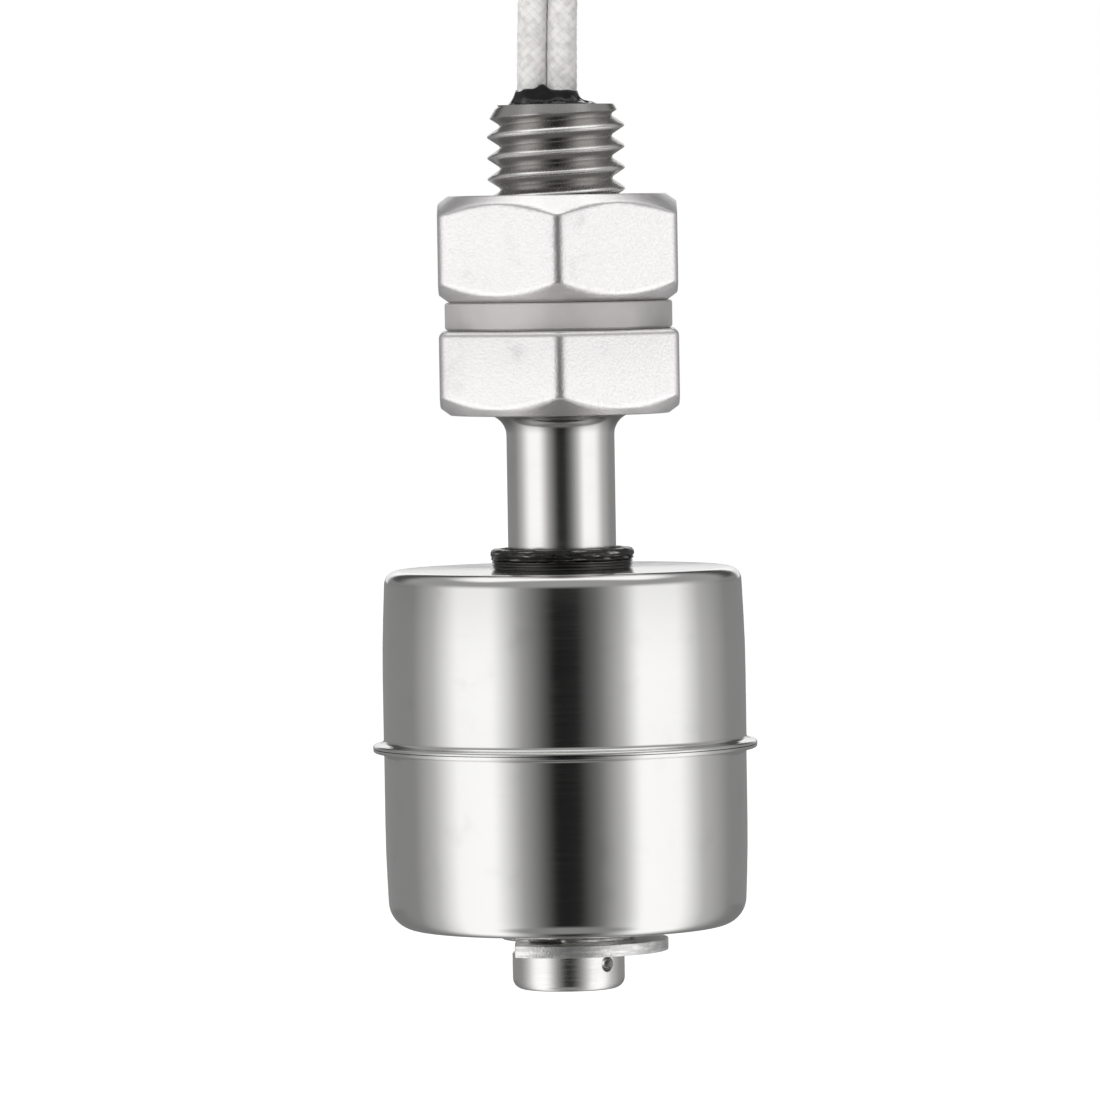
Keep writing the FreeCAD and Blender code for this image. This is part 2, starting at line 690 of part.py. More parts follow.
def build():
    """All the pieces by name."""
    magnet, stop_lower, stop_upper = magnet_parts()
    left_wire, right_wire = inner_wires()
    return {
        "stem_body": stem_body(),
        "lock_nut": lock_nut(),
        "gasket": gasket(),
        "retaining_clip": retaining_clip(),
        "float_upper_shell": float_upper_shell(),
        "float_lower_shell": float_lower_shell(),
        "float_sleeve": float_sleeve(),
        "ring_magnet": magnet,
        "magnet_stop_lower": stop_lower,
        "magnet_stop_upper": stop_upper,
        "reed_glass": reed_glass(),
        "reed_blade_upper": reed_blade(1),
        "reed_blade_lower": reed_blade(-1),
        "inner_wire_left": left_wire,
        "inner_wire_right": right_wire,
        "solder_joint_upper": solder_joint(reed_high - SOLDER_LENGTH, left_wire),
        "solder_joint_lower": solder_joint(reed_low + STRIP_MARGIN, right_wire),
        "insulating_sleeve": insulating_sleeve(),
        "potting": potting(),
        "lead_left": lead(-1),
        "lead_right": lead(1),
        "lead_hank": lead_hank(),
        "hank_tie": hank_tie(),
        "lead_end_left": lead_end(-1),
        "lead_end_right": lead_end(1),
    }


os.makedirs("parts", exist_ok=True)
for name, shape in build().items():
    if len(shape.Solids) == 1:
        shape = shape.Solids[0]
    print(name, "valid", shape.isValid(), "solids", len(shape.Solids), "volume %.2f" % shape.Volume)
    shape.exportStep("parts/%s.step" % name)
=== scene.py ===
"""The looks of a float level switch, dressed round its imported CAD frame.

The frame's +Z runs up the stem, the origin is at the flange's sealing face and the camera looks along +Y.
Sizes in the classes below are in millimetres, and a mesh becomes metres when it is finished.
"""

import logging
import math
from dataclasses import dataclass, field
from enum import Enum
from typing import Iterable, Optional, Sequence, Union

import bmesh
import bpy
from mathutils import Matrix, Quaternion, Vector, noise


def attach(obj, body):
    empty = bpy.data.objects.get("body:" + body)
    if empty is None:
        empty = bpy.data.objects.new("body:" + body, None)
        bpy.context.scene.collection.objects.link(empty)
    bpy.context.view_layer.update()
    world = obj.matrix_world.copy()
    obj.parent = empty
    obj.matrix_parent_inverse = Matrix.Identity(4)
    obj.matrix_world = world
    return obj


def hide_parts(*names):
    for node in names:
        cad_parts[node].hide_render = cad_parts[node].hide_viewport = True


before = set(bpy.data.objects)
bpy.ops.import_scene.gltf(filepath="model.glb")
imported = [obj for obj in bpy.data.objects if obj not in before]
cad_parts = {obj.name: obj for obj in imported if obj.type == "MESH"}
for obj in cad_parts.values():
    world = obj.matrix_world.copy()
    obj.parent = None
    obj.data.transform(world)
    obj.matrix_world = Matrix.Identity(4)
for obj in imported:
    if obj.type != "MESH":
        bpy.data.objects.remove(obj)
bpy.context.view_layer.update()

MM = 0.001
FULL_TURN = 2 * math.pi
HEX_SIDES = 6
HEX_SECTOR = 360 / HEX_SIDES

# The sizes that several pieces share
ACROSS_FLATS = 17.0
NECK_TOP = 16.0
GASKET_THICK = 2.0
LEAD_D = 2.1
LEADS_X = -0.6

# How near two points are one, in a skin of the script's own and in a braided tube
WELD = 2e-4
BRAID_WELD = 20 * WELD

# How a CAD mesh is merged, in metres and degrees, before its edges are bevelled
CAD_WELD = 1e-6
FLAT_WITHIN = 1.0
BEVEL_FROM = 40.0
BEVEL_STEPS = 3

# How often the patterns of the finishes repeat per millimetre, and between which values they come to show
STAINS_PER_MM = 0.35
STREAKS_PER_MM = (0.7, 0.7, 5.0)
STAIN_SHOWS = (0.55, 0.85)
CLOUD_SHOWS = (0.3, 0.7)
STREAK_FADE = (-0.05, 0.15)
RADIUS_FADE = (-0.1, 0.15)

# How far stains cover and darken a metal, and how far stains and texture change the roughness
STAIN_COVER = 0.5
STAIN_CONTRAST = 4.0
STAIN_GLOSS = 0.04
TEXTURE_GLOSS = 0.1

# The streak value above which a metal without patches would get painted glints
GLINT_PATCH_ABOVE = 0.75

LOG = logging.getLogger("float_switch")

Triple = tuple[float, float, float]
Colour = Triple
Corner = Triple
Pair = tuple[float, float]
Section = list[Pair]
Row = list[Vector]


def grey(level: float) -> Colour:
    """A grey of this brightness."""
    return (level, level, level)


def polar(radius: float, angle: float, height: float) -> Vector:
    """The point at a radius from the axis, an angle round it and a height."""
    return Vector((radius * math.cos(angle), radius * math.sin(angle), height))


class Body(Enum):
    """The CAD bodies that pieces ride on."""

    STEM = "stem"
    NUT = "nut"
    FLOAT = "float"


class Grain(Enum):
    """How a metal's fine marks run: how often they repeat across x and y, and along z, per millimetre."""

    TURNED = (0.35, 9.0)
    DRAWN = (7.0, 0.25)
    BLASTED = (6.0, 6.0)


class Value:
    """A node's output in a Python expression. Each operation adds the Math node that works it out."""

    def __init__(self, graph: "Graph", socket: bpy.types.NodeSocket) -> None:
        """Wraps one socket of one graph."""
        self.graph = graph
        self.socket = socket

    def math(self, operation: str, *others: "Number") -> "Value":
        """Adds a Math node with this value first and the others after it."""
        inputs = {i: other for i, other in enumerate((self, *others))}
        return self.graph.add("ShaderNodeMath", {"operation": operation}, inputs)

    def __add__(self, other: "Number") -> "Value":
        """The sum."""
        return self.math("ADD", other)

    def __mul__(self, other: "Number") -> "Value":
        """The product."""
        return self.math("MULTIPLY", other)

    def __sub__(self, other: "Number") -> "Value":
        """This value less the other."""
        return self.math("SUBTRACT", other)

    def __rsub__(self, other: "Number") -> "Value":
        """The other less this value."""
        return self * -1.0 + other

    def __truediv__(self, other: "Number") -> "Value":
        """This value over the other."""
        return self.math("DIVIDE", other)

    def __gt__(self, other: "Number") -> "Value":
        """1 where this value is the larger, and 0 elsewhere."""
        return self.math("GREATER_THAN", other)

    def clamped(self) -> "Value":
        """This value held between 0 and 1."""
        return self.math("MINIMUM", 1.0).math("MAXIMUM", 0.0)

    def ramp(self, low: float, high: float) -> "Value":
        """0 below low, 1 above high and a smooth rise between them."""
        settings = {"interpolation_type": "SMOOTHSTEP"}
        return self.graph.add("ShaderNodeMapRange", settings, {0: self, 1: low, 2: high, 3: 0.0, 4: 1.0})


Number = Union[float, Value]


class Graph:
    """A node tree that is written as Python expressions."""

    def __init__(self, tree: bpy.types.NodeTree) -> None:
        """Starts from an empty tree."""
        self.tree = tree
        tree.nodes.clear()

    def node(self, kind: str, settings: dict, inputs: dict) -> bpy.types.Node:
        """Adds one node.

        Args:
            kind: the node's type.
            settings: its own settings, set before its sockets; "stops" gives a colour ramp's stops.
            inputs: values or links by the socket's name or number.

        Returns:
            The node.
        """
        made = self.tree.nodes.new(kind)
        for name, value in settings.items():
            if name == "stops":
                self._set_stops(made.color_ramp, value)
            else:
                setattr(made, name, value)
        for name, value in inputs.items():
            if isinstance(value, Value):
                self.tree.links.new(value.socket, made.inputs[name])
            else:
                made.inputs[name].default_value = value
        return made

    def add(self, kind: str, settings: dict, inputs: dict, output: Union[int, str] = 0) -> Value:
        """Adds one node and gives one of its outputs."""
        return Value(self, self.node(kind, settings, inputs).outputs[output])

    @staticmethod
    def _set_stops(ramp: bpy.types.ColorRamp, stops: Sequence[Pair]) -> None:
        """Gives a colour ramp grey stops, each a place and a brightness."""
        while len(ramp.elements) < len(stops):
            ramp.elements.new(0.5)
        for element, (place, level) in zip(ramp.elements, stops):
            element.position = place
            element.color = (level, level, level, 1.0)

    def vector(self, operation: str, first: Value, second: Union[Value, Colour]) -> Value:
        """Adds a Vector Math node."""
        return self.add("ShaderNodeVectorMath", {"operation": operation}, {0: first, 1: second})

    def split(self, vector: Value) -> tuple[Value, Value, Value]:
        """The x, y and z of a vector."""
        node = self.node("ShaderNodeSeparateXYZ", {}, {0: vector})
        return tuple(Value(self, node.outputs[i]) for i in range(3))

    def joined(self, x: Number, y: Number, z: Number) -> Value:
        """A vector from its x, y and z."""
        return self.add("ShaderNodeCombineXYZ", {}, {0: x, 1: y, 2: z})

    def noise(self, vector: Value, scale: float, detail: float = 2.0) -> Value:
        """A cloudy pattern from 0 to 1, with a mean of a half."""
        return self.add("ShaderNodeTexNoise", {}, {"Vector": vector, "Scale": scale, "Detail": detail})

    def mix(self, share: Number, first: Union[Value, Colour], second: Union[Value, Colour]) -> Value:
        """A colour between two others."""
        whole = [c if isinstance(c, Value) else (*c, 1.0) for c in (first, second)]
        settings = {"data_type": "RGBA"}
        return self.add("ShaderNodeMix", settings, {0: share, 6: whole[0], 7: whole[1]}, 2)

    def bump(self, height: Value, depth: float) -> Value:
        """A bent normal.

        Args:
            height: the pattern's height, from 0 to 1.
            depth: what a height of 1 stands for, in millimetres.

        Returns:
            The normal.
        """
        return self.add("ShaderNodeBump", {}, {"Height": height, "Distance": depth * MM}, "Normal")

    def place(self) -> Value:
        """The point's place on the piece, in millimetres."""
        spot = self.add("ShaderNodeTexCoord", {}, {}, "Object")
        return self.vector("MULTIPLY", spot, (1 / MM, 1 / MM, 1 / MM))


@dataclass(frozen=True)
class Finish:
    """A surface that a piece can have, made once as a material.

    Attributes:
        name: the material's name.
        slot: the record's slot that it stands for; not used. The floor has none.
    """

    name: str
    slot: str

    def material(self) -> bpy.types.Material:
        """The material, made at its first use."""
        known = bpy.data.materials.get(self.name)
        if known:
            return known
        made = bpy.data.materials.new(self.name)
        made.use_nodes = True
        graph = Graph(made.node_tree)
        shader = graph.node("ShaderNodeBsdfPrincipled", {}, self.inputs(graph))
        graph.node("ShaderNodeOutputMaterial", {}, {"Surface": Value(graph, shader.outputs[0])})
        return made

    def inputs(self, graph: Graph) -> dict:
        """The sockets of the Principled shader that this finish sets."""
        raise NotImplementedError


@dataclass(frozen=True)
class Metal(Finish):
    """Bare metal with fine marks, faint stains and a little unevenness in its gloss, and where asked for,
    painted shade and bright patches of painted glint.

    Attributes:
        colour: the reflected colour.
        roughness: the mean roughness.
        grain: how its marks run.
        grain_depth: how deep its marks are, in millimetres.
        grain_gloss: how far the marks change the roughness.
        stain: how far the stains darken it.
        shade_within: the radius within which painted shade and painted dark reflection darken it, in
            millimetres, or 0.
        shade_above: the height from which that painted shade shows.
        shade_colour: the reflected colour there, darkened as painted shade.
        shade_fade: how softly that painted shade begins, in millimetres.
        patches: the share of it that gets bright patches of painted glint, or 0.
        patch_colour: the reflected colour of those painted glints.
        metallic: how far it mirrors. A blasted face scatters the rest.
    """

    colour: Colour = (0.72, 0.715, 0.705)
    roughness: float = 0.15
    grain: Grain = Grain.TURNED
    grain_depth: float = 0.0006
    grain_gloss: float = 0.06
    stain: float = 0.05
    shade_within: float = 0.0
    shade_above: float = 0.0
    shade_colour: Colour = (0.07, 0.068, 0.065)
    shade_fade: float = 0.1
    patches: float = 0.0
    patch_colour: Colour = (0.5, 0.49, 0.48)
    metallic: float = 1.0

    def inputs(self, graph: Graph) -> dict:
        """Marks from stretched noise, stains from a coarse one."""
        place = graph.place()
        across, along = self.grain.value
        marks = graph.noise(graph.vector("MULTIPLY", place, (across, across, along)), 1.0, detail=4.0)
        stains = graph.noise(place, STAINS_PER_MM, detail=3.0)
        uneven = (marks - 0.5) * self.grain_gloss * 2 + (stains - 0.5) * STAIN_GLOSS
        return {
            "Base Color": self._tint(graph, place, marks, stains),
            "Metallic": self.metallic,
            "Roughness": (uneven + self.roughness).clamped(),
            "Normal": graph.bump(marks, self.grain_depth),
        }

    def _tint(self, graph: Graph, place: Value, marks: Value, stains: Value) -> Value:
        """The colour over the piece: stained, darkened by painted shade in one place and lit by bright
        patches of painted glint.
        """
        dull = tuple(c * (1 - self.stain * STAIN_CONTRAST) for c in self.colour)
        stained = stains.ramp(*STAIN_SHOWS) * STAIN_COVER + (marks - 0.5) * self.stain
        tint = graph.mix(stained, self.colour, dull)
        # Painted shade and painted dark reflection: darker within a radius and above a height.
        if self.shade_within:
            x, y, z = graph.split(place)
            radius = (x * x + y * y).math("SQRT")
            outside = (radius - self.shade_within).ramp(*RADIUS_FADE)
            above = (z - self.shade_above).ramp(-self.shade_fade, self.shade_fade)
            tint = graph.mix((1 - outside) * above, tint, self.shade_colour)
        # Painted glints: bright patches along stretched streaks.
        if self.patches:
            streaks = graph.noise(graph.vector("MULTIPLY", place, STREAKS_PER_MM), 1.0, detail=1.5)
            glint_patch = (streaks - (GLINT_PATCH_ABOVE - self.patches / 2)).ramp(*STREAK_FADE)
            tint = graph.mix(glint_patch, tint, self.patch_colour)
        return tint


@dataclass(frozen=True)
class Plastic(Finish):
    """A moulded, cast or drawn non-metal.

    Attributes:
        colour: the main colour.
        shade: the colour of its faint clouds.
        roughness: the mean roughness.
        cloud_scale: how often the clouds repeat, per millimetre.
        texture_depth: how deep its surface texture is, in millimetres.
        texture_scale: how often that repeats, per millimetre.
        translucency: the share of light that spreads under the surface.
        transmission: the share of light that passes straight through.
        mirror: how strongly its surface mirrors, 0.5 for most plastics.
    """

    colour: Colour = (0.5, 0.5, 0.5)
    shade: Colour = (0.4, 0.4, 0.4)
    roughness: float = 0.4
    cloud_scale: float = 0.5
    texture_depth: float = 0.004
    texture_scale: float = 8.0
    translucency: float = 0.0
    transmission: float = 0.0
    mirror: float = 0.5

    def inputs(self, graph: Graph) -> dict:
        """Two colours in soft clouds over a fine texture."""
        place = graph.place()
        clouds = graph.noise(place, self.cloud_scale, detail=3.0)
        texture = graph.noise(place, self.texture_scale)
        return {
            "Base Color": graph.mix(clouds.ramp(*CLOUD_SHOWS), self.colour, self.shade),
            "Roughness": ((texture - 0.5) * TEXTURE_GLOSS + self.roughness).clamped(),
            "Normal": graph.bump(texture, self.texture_depth),
            "Subsurface Weight": self.translucency,
            "Subsurface Radius": grey(1.0),
            "Subsurface Scale": MM,
            "Transmission Weight": self.transmission,
            "Specular IOR Level": self.mirror,
        }


@dataclass(frozen=True)
class Paper(Finish):
    """The pale paper of a lit background.

    Attributes:
        greys: its darker and lighter grey.
        clouds_per_mm: how often they change.
        roughness: its roughness.
        glow: how strongly it glows.
    """

    greys: Pair = (0.93, 0.95)
    clouds_per_mm: float = 0.02
    roughness: float = 0.8
    glow: float = 0.52

    def inputs(self, graph: Graph) -> dict:
        """Wide faint clouds that glow a little."""
        dark, light = self.greys
        tint = graph.mix(graph.noise(graph.place(), self.clouds_per_mm), grey(dark), grey(light))
        return {
            "Base Color": tint,
            "Roughness": self.roughness,
            "Emission Color": tint,
            "Emission Strength": self.glow,
        }


@dataclass(frozen=True)
class Braid(Finish):
    """Woven fibreglass yarn over a lead. It reads the tube's own UV map: the turn, and the metres along it.

    Attributes:
        yarns: how many yarns run each way round.
        cell: the way along from one crossing to the next, in millimetres.
        swell: how far a yarn rises over a crossing, as a share of its height.
        fibres: how often the fibres repeat across a yarn and along it.
        clouds_per_mm: how often its clouds repeat.
        cloud_shows: the values between which a cloud comes to show.
        light: how far the weave, the fibres and the clouds light the colour; the weave's part is painted
            shade between the yarns.
        weave_most: the most that the weave adds to it.
        lift: how far they raise the surface.
        depth: the depth of the relief that the light sees, in millimetres.
        roughness: the lowest roughness and how far the fibres add to it.
        sheen: how strongly its loose fibres catch light from the side.
        translucency: the share of light that spreads under the surface.
        colour: the yarn's colour.
        gap: the colour deep between yarns, painted shade where the weave is low.
    """

    yarns: int = 8
    cell: float = 0.72
    swell: float = 0.45
    fibres: Pair = (9.0, 0.6)
    clouds_per_mm: float = 1.3
    cloud_shows: Pair = (0.3, 0.66)
    light: Triple = (0.65, 0.3, 0.45)
    weave_most: float = 0.36
    lift: Triple = (0.5, 0.5, 0.6)
    depth: float = 0.08
    roughness: Pair = (0.55, 0.2)
    sheen: float = 0.25
    translucency: float = 0.1
    colour: Colour = (0.7, 0.69, 0.675)
    gap: Colour = (0.36, 0.35, 0.342)

    def inputs(self, graph: Graph) -> dict:
        """Yarns over and under each other, each with its fibres."""
        spot = graph.add("ShaderNodeTexCoord", {}, {}, "UV")
        turn, along, _ = graph.split(spot)
        around = turn * float(self.yarns)
        way = along * (1 / (self.cell * MM))
        height, over, across, lengthwise = braid_height(around + way, around - way, self.swell)
        fibre_across, fibre_along = self.fibres
        fibre_spot = graph.joined(across * fibre_across, lengthwise * fibre_along, over)
        fibre = graph.noise(fibre_spot, 1.0, detail=3.0)
        clouds = graph.noise(graph.place(), self.clouds_per_mm, detail=5.0)
        weave_light, fibre_light, cloud_light = self.light
        weave_lift, fibre_lift, cloud_lift = self.lift
        # Painted shade: the colour falls to the gap's where the weave is low, between the yarns.
        shade = (height * weave_light).math("MINIMUM", self.weave_most) + fibre * fibre_light
        shade = shade + clouds.ramp(*self.cloud_shows) * cloud_light
        relief = height * weave_lift + fibre * fibre_lift + clouds * cloud_lift
        smooth, rougher = self.roughness
        return {
            "Base Color": graph.mix(shade.clamped(), self.gap, self.colour),
            "Roughness": (fibre * rougher + smooth).clamped(),
            "Normal": graph.bump(relief, self.depth),
            "Sheen Weight": self.sheen,
            "Subsurface Weight": self.translucency,
            "Subsurface Scale": MM,
        }


def braid_height(first: Value, second: Value, rise: float) -> tuple[Value, Value, Value, Value]:
    """The height of a braid at one point.

    Args:
        first: counts the yarns that lean one way.
        second: counts those that lean the other way.
        rise: how far a yarn rises over a crossing, as a share of its height.

    Returns:
        The height from 0 to 1, which yarn is on top, and the place across and along that yarn.
    """
    first_share = first.math("FRACT")
    second_share = second.math("FRACT")
    crossing = first.math("FLOOR") + second.math("FLOOR")
    over = (crossing * 0.5).math("FRACT") > 0.25
    across = second_share * over + first_share * (1 - over)
    lengthwise = first * over + second * (1 - over)
    share = first_share * over + second_share * (1 - over)
    crown = (across * math.pi).math("SINE").math("MAXIMUM", 0.0).math("SQRT")
    swell = (share * math.pi).math("SINE") * rise + (1 - rise)
    return crown * swell, over, across, lengthwise


# Painted dark reflection: within 5.15 mm of the axis above -17 mm, the float's ringed neck is near black.
POLISHED = Metal("polished stainless", "polished_stainless", roughness=0.14, grain_depth=0.0008,
                 grain_gloss=0.06, stain=0.04, shade_within=5.15, shade_above=-17.0)
SATIN_HEX = Metal("satin stainless", "satin_stainless", colour=(0.89, 0.873, 0.87), roughness=0.35,
                  grain=Grain.BLASTED, grain_depth=0.02, grain_gloss=0.14, stain=0.1, metallic=0.96)
# Painted shade: within 5.6 mm of the axis and above -6.8 mm, the stem and fillet under the flange are
# darker.
TURNED_STEM = Metal("turned stainless", "satin_stainless", colour=(0.74, 0.73, 0.72), roughness=0.2,
                    stain=0.03, grain_gloss=0.05, shade_within=5.6, shade_above=-6.8,
                    shade_colour=(0.25, 0.245, 0.24), shade_fade=0.7)
# Painted shade: within 4.68 mm of the axis, the thread's roots are darker than its crests.
ROLLED_THREAD = Metal("oiled thread", "satin_stainless", colour=(0.84, 0.83, 0.815), roughness=0.25,
                      grain=Grain.BLASTED, grain_depth=0.003, grain_gloss=0.1, stain=0.1,
                      shade_within=4.68, shade_above=-2.0, shade_colour=(0.5, 0.487, 0.475))
BRUSHED_TIP = Metal("brushed tip", "satin_stainless", colour=(0.8, 0.79, 0.78), roughness=0.25,
                    grain_depth=0.002, grain_gloss=0.12, stain=0.06)
# The float tube: near-black painted dark reflection above -20 mm, and bright patches of painted glint on
# both lips.
PAINTED_DARK_LIP = Metal("heat tinted stainless", "polished_stainless", colour=(0.85, 0.84, 0.83), roughness=0.2,
                 grain=Grain.BLASTED, grain_depth=0.03, grain_gloss=0.08, stain=0.1,
                 shade_within=9.0, shade_above=-20.0, shade_colour=(0.06, 0.058, 0.056), patches=0.3)
# Painted glints: bright patches along streaks whiten the clip's grainy sheared steel.
CLIP_STEEL = Metal("sheared clip steel", "clip_steel", colour=(0.74, 0.735, 0.73), roughness=0.4,
                   grain=Grain.BLASTED, grain_depth=0.03, grain_gloss=0.12, stain=0.1,
                   patches=0.5, patch_colour=(0.97, 0.96, 0.95))
SPRING = Metal("spring steel", "spring_steel", colour=(0.42, 0.41, 0.4), roughness=0.3, grain=Grain.DRAWN)
TINNED = Metal("tinned copper", "tinned_copper", colour=(0.7, 0.69, 0.67), roughness=0.3,
               grain=Grain.DRAWN, grain_depth=0.003, grain_gloss=0.1)
REED_ALLOY = Metal("plated reed alloy", "reed_alloy", colour=(0.66, 0.62, 0.55), roughness=0.22,
                   grain=Grain.DRAWN)
SOLDER = Metal("solder", "solder", colour=(0.6, 0.6, 0.61), roughness=0.24, grain=Grain.BLASTED,
               grain_depth=0.004, grain_gloss=0.05)
SILICONE = Plastic("grey silicone", "silicone", (0.42, 0.407, 0.402), (0.37, 0.358, 0.352), roughness=0.36,
                   cloud_scale=0.3, texture_depth=0.003, texture_scale=5.0, translucency=0.25, mirror=0.7)
EPOXY = Plastic("black epoxy", "epoxy", (0.004, 0.004, 0.005), (0.01, 0.01, 0.01), roughness=0.14,
                cloud_scale=1.2, texture_depth=0.03, texture_scale=1.4, mirror=0.35)
GLASS = Plastic("reed glass", "reed_glass", (0.86, 0.93, 0.88), (0.8, 0.9, 0.84), roughness=0.05,
                cloud_scale=1.0, texture_depth=0.001, texture_scale=2.0, transmission=0.95)
FERRITE = Plastic("sintered ferrite", "ferrite", (0.06, 0.06, 0.065), (0.035, 0.035, 0.04), roughness=0.6,
                  cloud_scale=1.5, texture_depth=0.02, texture_scale=7.0)
INSULATION = Plastic("wire insulation", "wire_insulation", (0.82, 0.8, 0.76), (0.76, 0.73, 0.68),
                     roughness=0.45)
SLEEVE = Plastic("insulating sleeve", "insulator", (0.7, 0.66, 0.5), (0.62, 0.57, 0.4), roughness=0.35,
                 cloud_scale=0.8, texture_depth=0.006)
NYLON = Plastic("natural nylon", "tie_nylon", (0.82, 0.81, 0.76), (0.76, 0.75, 0.7), roughness=0.4,
                cloud_scale=0.4, texture_depth=0.003, texture_scale=6.0, translucency=0.3)
BRAID = Braid("fibreglass braid", "lead_braid")
PAPER = Paper("pale floor", "")


def soft_min(first: float, second: float, blend: float) -> float:
    """The smaller of two values, with a rounded change from one to the other."""
    share = min(1.0, max(0.0, 0.5 + 0.5 * (second - first) / blend))
    return second + (first - second) * share - blend * share * (1 - share)


def rounded_section(corners: Sequence[Corner], closed: bool, step: float = 9.0) -> Section:
    """The points of a section whose corners are rounded.

    Args:
        corners: each corner's radius from the axis, height, and rounding.
        closed: whether the last corner joins the first.
        step: the largest turn between two points of a rounding, in degrees.

    Returns:
        The points in order, each a radius and a height.
    """
    spots = [Vector((r, z)) for r, z, _ in corners]
    count = len(spots)
    points: Section = []
    for i, (_, _, rounding) in enumerate(corners):
        here = spots[i]
        if rounding <= 0 or not (closed or 0 < i < count - 1):
            points.append((here.x, here.y))
            continue
        back = (spots[i - 1] - here).normalized()
        ahead = (spots[(i + 1) % count] - here).normalized()
        half = back.angle(ahead) / 2
        centre = here + (back + ahead).normalized() * (rounding / math.sin(half))
        start = here + back * (rounding / math.tan(half)) - centre
        turn = math.pi - 2 * half
        way = 1.0 if back.x * ahead.y - back.y * ahead.x < 0 else -1.0
        steps = max(2, math.ceil(math.degrees(turn) / step))
        for k in range(steps + 1):
            angle = way * turn * k / steps
            c, s = math.cos(angle), math.sin(angle)
            points.append((centre.x + start.x * c - start.y * s, centre.y + start.x * s + start.y * c))
    return points


class Skin:
    """A mesh under construction, in millimetres."""

    def __init__(self) -> None:
        """Starts empty."""
        self.mesh = bmesh.new()

    def rows(self, rows: Sequence[Row]) -> None:
        """Adds a tube through rows of points, each row a closed ring of as many points."""
        made = [[self.mesh.verts.new(p) for p in row] for row in rows]
        count = len(rows[0])
        for low, high in zip(made, made[1:]):
            for i in range(count):
                k = (i + 1) % count
                self.mesh.faces.new((low[i], low[k], high[k], high[i]))

    def turned(self, section: Section, columns: int) -> None:
        """Adds the surface that a section draws round the axis. A point on the axis makes a pole."""
        turns = [FULL_TURN * i / columns for i in range(columns)]
        self.rows([[polar(r, a, z) for a in turns] for r, z in section])

    def join(self, other: bpy.types.Mesh) -> None:
        """Adds a finished mesh's faces, and removes that mesh."""
        self.mesh.from_mesh(other)
        bpy.data.meshes.remove(other)

    def weld(self, distance: float = WELD) -> None:
        """Merges points that lie on each other."""
        bmesh.ops.remove_doubles(self.mesh, verts=self.mesh.verts, dist=distance)
        bmesh.ops.dissolve_degenerate(self.mesh, edges=self.mesh.edges, dist=distance / 2)

    def close_flat(self, height: float) -> None:
        """Fills the flat space between the open rings at a height."""
        self.weld()
        near = 5 * WELD
        edges = [e for e in self.mesh.edges
                 if e.is_boundary and all(abs(v.co.z - height) < near for v in e.verts)]
        bmesh.ops.triangle_fill(self.mesh, use_beauty=True, edges=edges)

    def close_holes(self) -> None:
        """Fills every hole that is left."""
        self.weld()
        edges = [e for e in self.mesh.edges if e.is_boundary]
        bmesh.ops.holes_fill(self.mesh, edges=edges, sides=0)

    def finish(self, name: str, sharp: float = 35.0) -> bpy.types.Object:
        """Makes the object.

        Args:
            name: the piece's name.
            sharp: the angle from which an edge stays sharp in the shading, in degrees.

        Returns:
            The object, at the origin, in metres.
        """
        self.weld()
        bmesh.ops.recalc_face_normals(self.mesh, faces=self.mesh.faces)
        open_edges = sum(not e.is_manifold for e in self.mesh.edges)
        if open_edges:
            LOG.warning("%s has %d open edges", name, open_edges)
        bmesh.ops.scale(self.mesh, vec=(MM, MM, MM), verts=self.mesh.verts)
        data = bpy.data.meshes.new(name)
        self.mesh.to_mesh(data)
        self.mesh.free()
        data.shade_smooth()
        data.set_sharp_from_angle(angle=math.radians(sharp))
        return new_object(name, data)


def new_object(name: str, data: bpy.types.ID) -> bpy.types.Object:
    """An object in the scene for some data."""
    made = bpy.data.objects.new(name, data)
    bpy.context.scene.collection.objects.link(made)
    return made


def dress(piece: bpy.types.Object, finish: Finish, body: Body, replaced: Iterable[str] = ()) -> None:
    """Gives a piece its finish and body, and hides the CAD nodes that it stands for."""
    piece.data.materials.clear()
    piece.data.materials.append(finish.material())
    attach(piece, body.value)
    if replaced:
        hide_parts(*replaced)
    LOG.info("%s: %d faces, %s, on %s", piece.name, len(piece.data.polygons), finish.name, body.value)


def dress_node(node: str, finish: Finish) -> None:
    """Gives a carried-over CAD node its finish."""
    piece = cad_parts[node]
    piece.data.materials.clear()
    piece.data.materials.append(finish.material())
    LOG.info("%s: CAD node, %s", node, finish.name)


